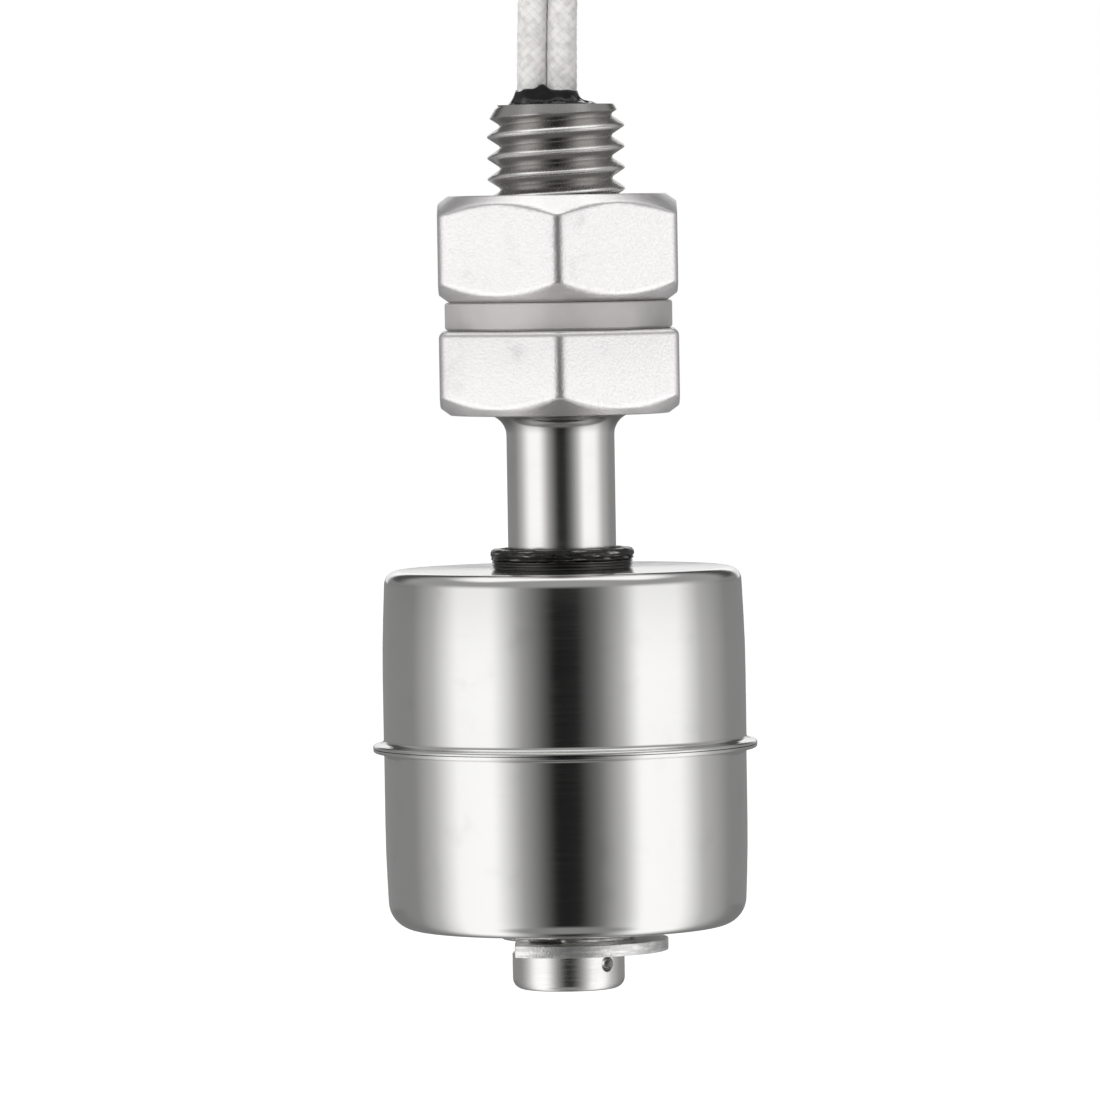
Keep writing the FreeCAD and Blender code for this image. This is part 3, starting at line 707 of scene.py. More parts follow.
class Growth:
    """A Geometry Nodes tree with named inputs, whose result is kept as a plain mesh."""

    def __init__(self, name: str, inputs: dict[str, str]) -> None:
        """Makes the tree.

        Args:
            name: the tree's name.
            inputs: the type of each named input.
        """
        self.tree = bpy.data.node_groups.new(name, "GeometryNodeTree")
        self.tree.is_modifier = True
        for label, kind in inputs.items():
            self.tree.interface.new_socket(label, in_out="INPUT", socket_type=kind)
        self.tree.interface.new_socket("Geometry", in_out="OUTPUT", socket_type="NodeSocketGeometry")
        self.graph = Graph(self.tree)
        self.entry = self.graph.node("NodeGroupInput", {}, {})

    def value(self, label: str) -> Value:
        """One of the named inputs."""
        return Value(self.graph, self.entry.outputs[label])

    def end(self, geometry: Value, finish: Finish) -> None:
        """Ends the tree: instances made real, and the material set."""
        real = self.graph.add("GeometryNodeRealizeInstances", {}, {"Geometry": geometry})
        inputs = {"Geometry": real, "Material": finish.material()}
        dressed = self.graph.add("GeometryNodeSetMaterial", {}, inputs)
        self.graph.node("NodeGroupOutput", {}, {"Geometry": dressed})

    def grow(self, values: dict) -> bpy.types.Mesh:
        """Runs the tree with these inputs and gives the mesh that comes out."""
        host = new_object(self.tree.name, bpy.data.meshes.new(self.tree.name))
        modifier = host.modifiers.new(self.tree.name, "NODES")
        modifier.node_group = self.tree
        for item in self.tree.interface.items_tree:
            if item.in_out == "INPUT":
                modifier[item.identifier] = values[item.name]
        seen = host.evaluated_get(bpy.context.evaluated_depsgraph_get())
        result = bpy.data.meshes.new_from_object(seen)
        host.modifiers.remove(modifier)
        bpy.data.objects.remove(host)
        return result


@dataclass
class Photographer:
    """The camera at the photograph's place.

    Attributes:
        distance: how far in front of the axis it stands.
        height: how high it stands.
        aim: the height that the middle of the picture shows.
        aside: how far it stands to the left of the axis.
        lens: its focal length.
        sensor: the width of its sensor.
        roll: how far the object leans to the left in the picture, in degrees.
        sight: from how near to how far it sees, in metres.
    """

    distance: float = 656.0
    height: float = 9.7
    aim: float = -15.7
    aside: float = -0.87
    lens: float = 301.5
    sensor: float = 36.0
    roll: float = 0.9
    sight: Pair = (0.01, 50.0)

    def build(self) -> None:
        """Makes the camera and hands it to the scene."""
        data = bpy.data.cameras.new("camera")
        data.lens = self.lens
        data.sensor_width = self.sensor
        data.clip_start, data.clip_end = self.sight
        camera = new_object("camera", data)
        place = Vector((self.aside, -self.distance, self.height)) * MM
        look = Vector((self.aside, 0.0, self.aim)) * MM - place
        turn = look.to_track_quat("-Z", "Y") @ Quaternion((0, 0, 1), math.radians(-self.roll))
        camera.matrix_world = Matrix.Translation(place) @ turn.to_matrix().to_4x4()
        bpy.context.scene.camera = camera


@dataclass(frozen=True)
class Zone:
    """A part of the surroundings with a brightness of its own. A direction's parts run from -1 to 1.

    Attributes:
        level: its brightness.
        up: between which heights it fades in.
        behind: between which distances behind the object it fades in, or None where it lies all round.
        share: how far it covers what is there.
    """

    level: float
    up: Pair
    behind: Optional[Pair] = None
    share: float = 1.0

    def over(self, graph: Graph, light: Value, height: Value, depth: Value) -> Value:
        """The surroundings with this zone laid over them.

        Args:
            graph: the world's graph.
            light: the surroundings so far.
            height: how far up a direction points, or how far down for a zone below the horizon.
            depth: how far behind the object it points.

        Returns:
            The new surroundings.
        """
        cover = height.ramp(*self.up) * self.share
        if self.behind:
            cover = cover * depth.ramp(*self.behind)
        return graph.mix(cover, light, grey(self.level))


@dataclass
class Studio:
    """A pale floor and soft light: tall soft boxes at both sides, a dark gap between them and a white back.

    Attributes:
        box_stops: brightness round the horizon, from behind over the left, the front and the right.
        upper_zones: what lies above the horizon, each zone over those before it.
        lower_zones: what lies below it.
        back_zones: the white back over all others.
        strength: the light's strength.
        floor_depth: how far the floor lies below the origin.
        floor_radius: its radius.
        floor_thickness: its thickness.
        floor_columns: points round it.
        lamp_place: where the broad lamp hangs, in metres.
        lamp_size: its diameter, in metres.
        lamp_power: its power, in watts.
    """

    box_stops: tuple[Pair, ...] = (
        (0.0, 0.28), (0.19, 0.3), (0.245, 0.6), (0.3, 1.3), (0.37, 1.35), (0.422, 0.45), (0.462, 0.13),
        (0.482, 0.012), (0.523, 0.02), (0.56, 0.2), (0.603, 0.65), (0.635, 1.35), (0.715, 1.3), (0.77, 0.6),
        (0.85, 0.3), (1.0, 0.26),
    )
    upper_zones: tuple[Zone, ...] = (
        Zone(0.0, (-0.03, 0.07), share=0.14),
        Zone(0.4, (0.05, 0.5)),
        Zone(0.08, (0.15, 0.3), (0.55, 0.8)),
        Zone(1.3, (0.72, 0.88), (-0.35, -0.05)),
    )
    lower_zones: tuple[Zone, ...] = (Zone(0.3, (0.9, 0.98)), Zone(0.22, (0.1, 0.2), (0.5, 0.9)))
    back_zones: tuple[Zone, ...] = (
        Zone(0.95, (0.025, 0.04), (0.9, 0.95)),
        Zone(1.4, (0.15, 0.3), (0.9, 0.95)),
    )
    strength: float = 1.0
    floor_depth: float = 160.0
    floor_radius: float = 6000.0
    floor_thickness: float = 20.0
    floor_columns: int = 64
    lamp_place: Triple = (-0.35, -0.8, 0.55)
    lamp_size: float = 0.6
    lamp_power: float = 6.0

    def build(self) -> None:
        """Makes the surroundings, the floor and one soft lamp for what isn't metal."""
        self._surroundings()
        self._floor()
        self._lamp()
        bpy.context.scene.view_settings.view_transform = "Standard"

    def _surroundings(self) -> None:
        """Paints the soft boxes into the world round the object."""
        world = bpy.data.worlds.new("studio")
        bpy.context.scene.world = world
        world.use_nodes = True
        graph = Graph(world.node_tree)
        x, y, z = graph.split(graph.add("ShaderNodeTexCoord", {}, {}, "Generated"))
        heading = x.math("ARCTAN2", 1 - y) * (1 / math.pi) + 0.5
        light = graph.add("ShaderNodeValToRGB", {"stops": self.box_stops}, {0: heading})
        for zones, height in ((self.upper_zones, z), (self.lower_zones, z * -1.0), (self.back_zones, z)):
            for zone in zones:
                light = zone.over(graph, light, height, y)
        direct = graph.add("ShaderNodeLightPath", {}, {}, "Is Camera Ray")
        seen = graph.mix(direct, light, grey(1.0))
        glow = graph.add("ShaderNodeBackground", {}, {"Color": seen, "Strength": self.strength})
        graph.node("ShaderNodeOutputWorld", {}, {"Surface": glow})

    def _floor(self) -> None:
        """Lays a wide pale disc under the object. Polished pieces reflect the soft boxes and not it."""
        skin = Skin()
        top = -self.floor_depth
        low = top - self.floor_thickness
        reach = self.floor_radius
        skin.turned([(0.0, top), (reach, top), (reach, low), (0.0, low)], self.floor_columns)
        floor = skin.finish("floor")
        floor.data.materials.append(PAPER.material())
        floor.visible_glossy = False

    def _lamp(self) -> None:
        """Hangs a broad lamp over the camera for the leads and the gasket. Metal doesn't mirror it."""
        data = bpy.data.lights.new("broad lamp", "AREA")
        data.shape = "DISK"
        data.size = self.lamp_size
        data.energy = self.lamp_power
        lamp = new_object("broad_lamp", data)
        place = Vector(self.lamp_place)
        turn = (-place).to_track_quat("-Z", "Y")
        lamp.matrix_world = Matrix.Translation(place) @ turn.to_matrix().to_4x4()
        lamp.visible_glossy = False


@dataclass
class Hank:
    """The folded length of the leads: runs side by side, drawn together at the waist, joined by round folds.

    Attributes:
        x: the pair's middle.
        y: the hank's middle from front to back.
        z: the height of its waist.
        gap: from the middle of one run to the next.
        half_run: from the waist to the middle of a fold.
        folds: each fold's radius in turn, in gaps, from the first run down to the last.
        waists: how far each run stands from the middle at the waist, in gaps.
        tail: how far the braid ends below the waist.
        fold_step: the largest turn between two points of a fold, in degrees.
        run_steps: points along half a run.
    """

    x: float = -0.5
    y: float = 27.5
    z: float = -14.0
    gap: float = 2.15
    half_run: float = 18.0
    folds: tuple[int, ...] = (5, 4, 4, 3, 3)
    waists: tuple[int, ...] = (2, 2, 1, 1, 0)
    tail: float = 6.0
    fold_step: float = 22.0
    run_steps: int = 3

    def spots(self, shift: float) -> list[Triple]:
        """The middle line of one lead, from the first run to the braid's end.

        Args:
            shift: how far the lead lies to the right of the pair's middle.

        Returns:
            The points, in millimetres.
        """
        return [(self.x + shift, self.y + y, self.z + z) for y, z in self._line()]

    def _line(self) -> Section:
        """Run by run, inwards, and the tail straight down, as y and z from the hank's middle."""
        reaches = [self.gap * fold for fold in self.folds]
        waists = [self.gap * waist for waist in self.waists]
        points = self._fold(1, 180.0, 180.0 + self._lean(reaches[0], waists[0]), reaches[0])[1:]
        for i, here in enumerate(waists):
            front = i % 2 == 0
            side, first = (-1, 1) if front else (1, -1)
            points += self._half_run(side, first, reaches[i], here)
            if i == len(waists) - 1:
                break
            reach = reaches[i + 1]
            points += self._half_run(side, -first, reach, here)[-2::-1]
            away = self._lean(reach, here)
            back = self._lean(reach, waists[i + 1])
            start, end = (180.0 - away, 360.0 + back) if front else (-away, 180.0 + back)
            points += self._fold(-first, start, end, reach)
        points += [(0.0, -self.tail / 2), (0.0, -self.tail)]
        return points

    def _radius(self, reach: float, waist: float) -> float:
        """The radius of the arc that a run follows from its waist to a fold."""
        return (self.half_run ** 2 / (reach - waist) - (reach + waist)) / 2

    def _lean(self, reach: float, waist: float) -> float:
        """How far a run leans where it meets a fold, in degrees."""
        return math.degrees(math.atan2(self.half_run, waist + self._radius(reach, waist)))

    def _half_run(self, side: int, up: int, reach: float, waist: float) -> Section:
        """Points of one half run, from beside the fold to the waist."""
        radius = self._radius(reach, waist)
        centre = waist + radius
        slope = math.atan2(self.half_run, centre)
        shares = [1 - i / self.run_steps for i in range(1, self.run_steps + 1)]
        return [(side * (centre - radius * math.cos(slope * s)), up * radius * math.sin(slope * s))
                for s in shares]

    def _fold(self, up: int, start: float, end: float, reach: float) -> Section:
        """Points of one fold, between two angles in degrees, round the middle of the fold."""
        steps = max(2, round((end - start) / self.fold_step))
        angles = [math.radians(start + (end - start) * i / steps) for i in range(steps + 1)]
        return [(reach * math.cos(a), up * self.half_run + reach * math.sin(a)) for a in angles]


@dataclass
class Leads:
    """The two braided leads, their bare ends and the tie round the hank that they are folded into.

    Attributes:
        diameter: over the braid.
        spacing: between the two leads' middles.
        exit_height: the height at which a lead leaves the epoxy; not used.
        route: the middle of the pair, from the epoxy to the top of the hank.
        hank: what follows from there to the braid's end.
        length: each lead's length, in metres; not used.
        route_steps: points of the route for each of its control points.
        relief: how far the yarns stand out.
        rings_per_cell: rings of the tube in one cell of the braid.
        bare_length: how long the bare strands are.
        bare_sunk: how far they start inside the braid.
        strands: how many there are.
        strand_lay: the way along in one turn of their twist.
        core_r: the radius between two strands.
        strand_swell: how far a strand stands out of that.
        point: the share of its radius that the end's tip keeps, and how fast the rest comes back.
        bare_columns: points round the bare end.
        bare_rows: points along it.
        tie_bevel: how wide the tie's softened edges are.
    """

    diameter: float = LEAD_D
    spacing: float = LEAD_D
    exit_height: float = NECK_TOP + 0.5
    route: tuple[Corner, ...] = (
        (LEADS_X, 0.0, 14.5), (LEADS_X, 0.0, 19.2), (-0.25, 0.2, 27.7), (-0.2, 6.6, 34.0),
        (-0.25, 15.6, 34.4), (-0.35, 21.8, 28.0), (-0.45, 21.4, 19.2), (-0.5, 16.75, 11.6),
        (-0.5, 16.75, 4.0),
    )
    hank: Hank = field(default_factory=Hank)
    length: float = 0.335
    route_steps: int = 12
    relief: float = 0.07
    rings_per_cell: int = 4
    bare_length: float = 10.4
    bare_sunk: float = 0.6
    strands: int = 6
    strand_lay: float = 3.2
    core_r: float = 0.3
    strand_swell: float = 0.14
    point: Pair = (0.12, 3.2)
    bare_columns: int = 48
    bare_rows: int = 80
    tie_bevel: float = 0.12

    def build(self) -> None:
        """Makes both leads with the pieces on them."""
        tie = self._tie()
        growth = self._braid_growth()
        sides = ((-1, "left", ("lead_left", "lead_hank")), (1, "right", ("lead_right",)))
        for side, word, replaced in sides:
            end = self._bare_end(side, word)
            path = self._route_points(side)
            piece = self._tube(growth, word, path)
            dress(piece, BRAID, Body.STEM, replaced)

    def _route_points(self, side: int) -> list[Vector]:
        """The points that one lead follows, read from its own smooth spline, in metres."""
        shift = side * self.spacing / 2
        spots = [(x + shift, y, z) for x, y, z in self.route] + self.hank.spots(shift)
        curve = bpy.data.curves.new("lead route", "CURVE")
        curve.dimensions = "3D"
        curve.resolution_u = self.route_steps
        spline = curve.splines.new("NURBS")
        spline.points.add(len(spots) - 1)
        for point, spot in zip(spline.points, spots):
            point.co = (*(Vector(spot) * MM), 1.0)
        spline.order_u = 3
        spline.use_endpoint_u = True
        holder = new_object("lead_route", curve)
        seen = holder.evaluated_get(bpy.context.evaluated_depsgraph_get())
        line = bpy.data.meshes.new_from_object(seen)
        path = [v.co.copy() for v in line.vertices]
        bpy.data.objects.remove(holder)
        bpy.data.meshes.remove(line)
        return path

    def _braid_growth(self) -> Growth:
        """The rule that makes a braided tube along a line."""
        kinds = {label: "NodeSocketFloat" for label in ("Radius", "Ring spacing", "Yarns", "Cell", "Relief")}
        growth = Growth("braided tube", {"Line": "NodeSocketObject", "Sides": "NodeSocketInt", **kinds})
        graph = growth.graph
        tube = self._sweep(growth)
        along = self._read(graph, "along")
        turn = self._read(graph, "around")
        around = turn * growth.value("Yarns")
        cells = along / growth.value("Cell")
        height = braid_height(around + cells, around - cells, BRAID.swell)[0]
        tube = self._store(graph, tube, "height", height)
        tube = self._store(graph, tube, "UVMap", graph.joined(turn, along, 0.0), "FLOAT2", "CORNER")
        tube = graph.add("GeometryNodeMergeByDistance", {}, {"Geometry": tube, "Distance": BRAID_WELD * MM})
        normal = graph.add("GeometryNodeInputNormal", {}, {})
        lift = (self._read(graph, "height") - 0.5) * growth.value("Relief")
        offset = graph.add("ShaderNodeVectorMath", {"operation": "SCALE"}, {"Vector": normal, "Scale": lift})
        tube = graph.add("GeometryNodeSetPosition", {}, {"Geometry": tube, "Offset": offset})
        growth.end(tube, BRAID)
        return growth

    def _sweep(self, growth: Growth) -> Value:
        """The plain tube along the line, which keeps the way along it and the turn round it."""
        graph = growth.graph
        info = graph.add("GeometryNodeObjectInfo", {}, {"Object": growth.value("Line")}, "Geometry")
        line = graph.add("GeometryNodeMeshToCurve", {}, {"Mesh": info})
        inputs = {"Curve": line, "Length": growth.value("Ring spacing")}
        line = graph.add("GeometryNodeResampleCurve", {"mode": "LENGTH"}, inputs)
        ring = graph.add("GeometryNodeCurveArc", {"mode": "RADIUS"}, {
            "Resolution": growth.value("Sides"), "Radius": growth.value("Radius"), "Sweep Angle": FULL_TURN})
        way = graph.add("GeometryNodeSplineParameter", {}, {}, "Length")
        share = graph.add("GeometryNodeSplineParameter", {}, {}, "Factor")
        line = self._store(graph, line, "along", way)
        ring = self._store(graph, ring, "around", share)
        return graph.add("GeometryNodeCurveToMesh", {}, {"Curve": line, "Profile Curve": ring})

    @staticmethod
    def _store(graph: Graph, geometry: Value, name: str, value: Value, kind: str = "FLOAT",
               domain: str = "POINT") -> Value:
        """Keeps a value under a name, on each point unless another domain is given."""
        settings = {"data_type": kind, "domain": domain}
        inputs = {"Geometry": geometry, "Name": name, "Value": value}
        return graph.add("GeometryNodeStoreNamedAttribute", settings, inputs)

    @staticmethod
    def _read(graph: Graph, name: str) -> Value:
        """Reads a value that was kept under a name."""
        return graph.add("GeometryNodeInputNamedAttribute", {"data_type": "FLOAT"}, {"Name": name})

    def _tube(self, growth: Growth, word: str, path: Sequence[Vector]) -> bpy.types.Object:
        """The braided tube along a path, its ends closed."""
        line = bpy.data.meshes.new("lead line")
        line.from_pydata(path, [(i, i + 1) for i in range(len(path) - 1)], [])
        holder = new_object("lead_line", line)
        mesh = growth.grow({
            "Line": holder, "Radius": self.diameter / 2 * MM, "Cell": BRAID.cell * MM,
            "Ring spacing": BRAID.cell * MM / self.rings_per_cell, "Yarns": float(BRAID.yarns),
            "Sides": self.rings_per_cell * BRAID.yarns + 1, "Relief": self.relief * MM,
        })
        bpy.data.objects.remove(holder)
        bpy.data.meshes.remove(line)
        ends = bmesh.new()
        ends.from_mesh(mesh)
        bmesh.ops.holes_fill(ends, edges=[e for e in ends.edges if e.is_boundary], sides=0)
        bmesh.ops.recalc_face_normals(ends, faces=ends.faces)
        ends.to_mesh(mesh)
        ends.free()
        mesh.shade_smooth()
        mesh.name = word
        measured = sum((b - a).length for a, b in zip(path, path[1:]))
        LOG.info("%s lead is %.1f mm long", word, measured / MM)
        return new_object(word + "_braided_lead", mesh)

    def _bare_end(self, side: int, word: str) -> bpy.types.Object:
        """The twisted and tinned strands at a lead's end."""
        middle = Vector((self.hank.x + side * self.spacing / 2, self.hank.y, 0))
        top = self.hank.z - self.hank.tail + self.bare_sunk
        tip, growth = self.point
        rows = []
        for k in range(self.bare_rows + 1):
            share = k / self.bare_rows
            z = top - self.bare_length * share
            taper = min(1.0, growth * math.sqrt(1 - share) + tip)
            row = []
            for i in range(self.bare_columns):
                angle = FULL_TURN * i / self.bare_columns
                lobe = abs(math.sin(self.strands / 2 * (angle + FULL_TURN * z / self.strand_lay)))
                radius = (self.core_r + self.strand_swell * math.sqrt(lobe)) * taper
                row.append(middle + polar(radius, angle, z))
            rows.append(row)
        skin = Skin()
        skin.rows(rows)
        skin.close_holes()
        end = skin.finish(word + "_bare_end", sharp=60.0)
        dress(end, TINNED, Body.STEM, ["lead_end_" + word])
        return end

    def _tie(self) -> bpy.types.Object:
        """The nylon tie round the hank's waist, kept in the CAD form with softened edges."""
        tie = cad_copy("hank_tie", "cable_tie", self.tie_bevel)
        dress(tie, NYLON, Body.STEM, ["hank_tie"])
        return tie


def cad_copy(node: str, name: str, bevel: float) -> bpy.types.Object:
    """A merged copy of a CAD node's mesh with its edges softened by a bevel, in millimetres."""
    skin = bmesh.new()
    skin.from_mesh(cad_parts[node].data)
    bmesh.ops.remove_doubles(skin, verts=skin.verts, dist=CAD_WELD)
    bmesh.ops.dissolve_limit(skin, angle_limit=math.radians(FLAT_WITHIN), verts=skin.verts, edges=skin.edges)
    bmesh.ops.recalc_face_normals(skin, faces=skin.faces)
    data = bpy.data.meshes.new(name)
    skin.to_mesh(data)
    skin.free()
    piece = new_object(name, data)
    edge = piece.modifiers.new("softened edges", "BEVEL")
    edge.width = bevel * MM
    edge.segments = BEVEL_STEPS
    edge.limit_method = "ANGLE"
    edge.angle_limit = math.radians(BEVEL_FROM)
    data.shade_smooth()
    data.set_sharp_from_angle(angle=math.radians(BEVEL_FROM))
    return piece


@dataclass
class Thread:
    """A helical thread, M10 with a pitch of 1.5, made by Geometry Nodes as a sheared grid.

    Attributes:
        pitch: the rise in one turn.
        phase: the height of a root at the right-hand side.
        crest: the largest radius.
        root: the smallest radius.
        rim: the radius of the chamfer's small end.
        crest_flat: the share of the depth cut off at the crest.
        root_flat: the share of it that is filled at the root.
        crest_blend: how softly the crest's flat begins.
        root_blend: how softly the root's flat begins.
        chamfer_slope: how fast the radius grows below the upper end.
        end_slope: the same for the first ring, which joins the end face.
        columns: points round the thread.
        rows: points along one pitch.
    """

    pitch: float = 1.5
    phase: float = 0.26
    crest: float = 4.9
    root: float = 4.0
    rim: float = 4.15
    crest_flat: float = 0.1
    root_flat: float = 0.12
    crest_blend: float = 0.06
    root_blend: float = 0.18
    chamfer_slope: float = 0.6
    end_slope: float = 4.0
    columns: int = 120
    rows: int = 14

    def grow(self, low: float, high: float, clearance: float = 0.0, bore: float = 0.0,
             sink: float = 0.0) -> bpy.types.Mesh:
        """Makes the thread between two heights.

        Args:
            low: the lower end.
            high: the upper end.
            clearance: how far it stands off the outer thread, for a thread in a bore.
            bore: the bore's radius, for a thread in a bore.
            sink: the radius of the bore's countersinks, or 0 for an outer thread.

        Returns:
            The open threaded surface, in millimetres.
        """
        inside = sink > 0
        growth = self._rule(inside)
        start = self.phase + self.pitch * (math.floor((low - self.phase) / self.pitch) - 1)
        turns = math.ceil((high - start) / self.pitch) + 1
        return growth.grow({
            "Pitch": self.pitch, "Start": start, "Low": low, "High": high, "Turns": float(turns),
            "Crest": self.crest + clearance, "Root": self.root + clearance, "Bore": bore,
            "Rim": sink if inside else self.rim, "Columns": self.columns + 1,
            "Rows": turns * self.rows + 1, "Crest flat": self.crest_flat,
        })

    def _rule(self, inside: bool) -> Growth:
        """The tree that bends a flat grid into the thread."""
        floats = ("Pitch", "Start", "Low", "High", "Turns", "Crest", "Root", "Bore", "Rim", "Crest flat")
        kinds = {label: "NodeSocketFloat" for label in floats}
        kinds.update({"Columns": "NodeSocketInt", "Rows": "NodeSocketInt"})
        growth = Growth("nut thread" if inside else "stem thread", kinds)
        graph = growth.graph
        value = growth.value
        grid = graph.add("GeometryNodeMeshGrid", {}, {
            "Size X": 1.0, "Size Y": 1.0, "Vertices X": value("Columns"), "Vertices Y": value("Rows")})
        x, y, _ = graph.split(graph.add("GeometryNodeInputPosition", {}, {}))
        turn = x + 0.5
        rise = (y + 0.5) * value("Turns")
        height = (turn + rise) * value("Pitch") + value("Start")
        height = height.math("MINIMUM", value("High")).math("MAXIMUM", value("Low"))
        ridge = 1 - (rise.math("FRACT") * 2.0 - 1.0).math("ABSOLUTE")
        ridge = (ridge - self.root_flat) / (1 - value("Crest flat") - self.root_flat)
        ridge = ridge.math("SMOOTH_MAX", 0.0, self.root_blend).math("SMOOTH_MIN", 1.0, self.crest_blend)
        radius = value("Root") + (value("Crest") - value("Root")) * ridge
        from_low = height - value("Low")
        from_high = value("High") - height
        if inside:
            sunk = value("Rim") - from_low.math("MINIMUM", from_high)
            radius = radius.math("MAXIMUM", value("Bore")).math("MAXIMUM", sunk)
        else:
            radius = radius.math("MINIMUM", value("Root") + from_low)
            radius = radius.math("MINIMUM", value("Rim") + from_high * self.chamfer_slope)
            radius = radius.math("MAXIMUM", value("Rim") - from_high * self.end_slope)
        angle = turn * FULL_TURN
        spot = graph.joined(radius * angle.math("COSINE"), radius * angle.math("SINE"), height)
        bent = graph.add("GeometryNodeSetPosition", {}, {"Geometry": grid, "Position": spot})
        welded = graph.add("GeometryNodeMergeByDistance", {}, {"Geometry": bent, "Distance": WELD})
        growth.end(welded, ROLLED_THREAD)
        return growth


@dataclass
class Hexagon:
    """The sides of a hexagon with softened corners, and a cone cut at an end.

    Attributes:
        across_flats: from flat to flat.
        corner_blend: how far the corners are softened.
        slope: the chamfer cone's rise for its run.
        edge_blend: how far the chamfer's edge is softened.
        chamfer_steps: rings in a chamfer.
        beyond: how far past the corners the cone goes on.
        spread: the angles from a corner at which there are points, in degrees.
    """

    across_flats: float = ACROSS_FLATS
    corner_blend: float = 0.6
    slope: float = math.tan(math.radians(36))
    edge_blend: float = 0.1
    chamfer_steps: int = 18
    beyond: float = 0.1
    spread: tuple[float, ...] = (0.0, 0.7, 1.5, 2.5, 4.0, 6.5, 10.0, 15.0, 22.0)

    def angles(self) -> list[float]:
        """Angles round the hexagon, close together at its corners."""
        sector = [*self.spread, HEX_SECTOR / 2, *(HEX_SECTOR - a for a in self.spread[:0:-1])]
        return [math.radians(HEX_SECTOR * side - 90 + a) for side in range(HEX_SIDES) for a in sector]

    def side_radius(self, angle: float) -> float:
        """The radius of the flats at an angle."""
        apothem = self.across_flats / 2
        turned = math.degrees(angle) + 90
        from_flat = math.radians(turned % HEX_SECTOR - HEX_SECTOR / 2)
        here = apothem / math.cos(from_flat)
        beside = apothem / math.cos(math.radians(HEX_SECTOR) - abs(from_flat))
        return soft_min(here, beside, self.corner_blend)

    def row(self, height: float, cone: Optional[float], inset: float = 0.0) -> Row:
        """One ring at a height, cut back to a cone's radius where there is one."""
        ring = []
        for angle in self.angles():
            radius = self.side_radius(angle) - inset
            if cone is not None:
                radius = soft_min(radius, cone, self.edge_blend)
            ring.append(polar(radius, angle, height))
        return ring

    def chamfered_rows(self, end: float, inwards: float, inset: float) -> list[Row]:
        """Rings from a chamfered end to where the cone has left the corners.

        Args:
            end: the height of the end face.
            inwards: 1 where the hexagon lies above the end, -1 where it lies below.
            inset: how far the cone's circle stands inside the flats at the end face.

        Returns:
            The rings, from the end face inwards.
        """
        ring = self.across_flats / 2 - inset
        reach = (self.across_flats / math.sqrt(3) + self.beyond - ring) * self.slope
        rows = []
        for k in range(self.chamfer_steps + 1):
            depth = reach * k / self.chamfer_steps
            rows.append(self.row(end + inwards * depth, ring + depth / self.slope))
        return rows


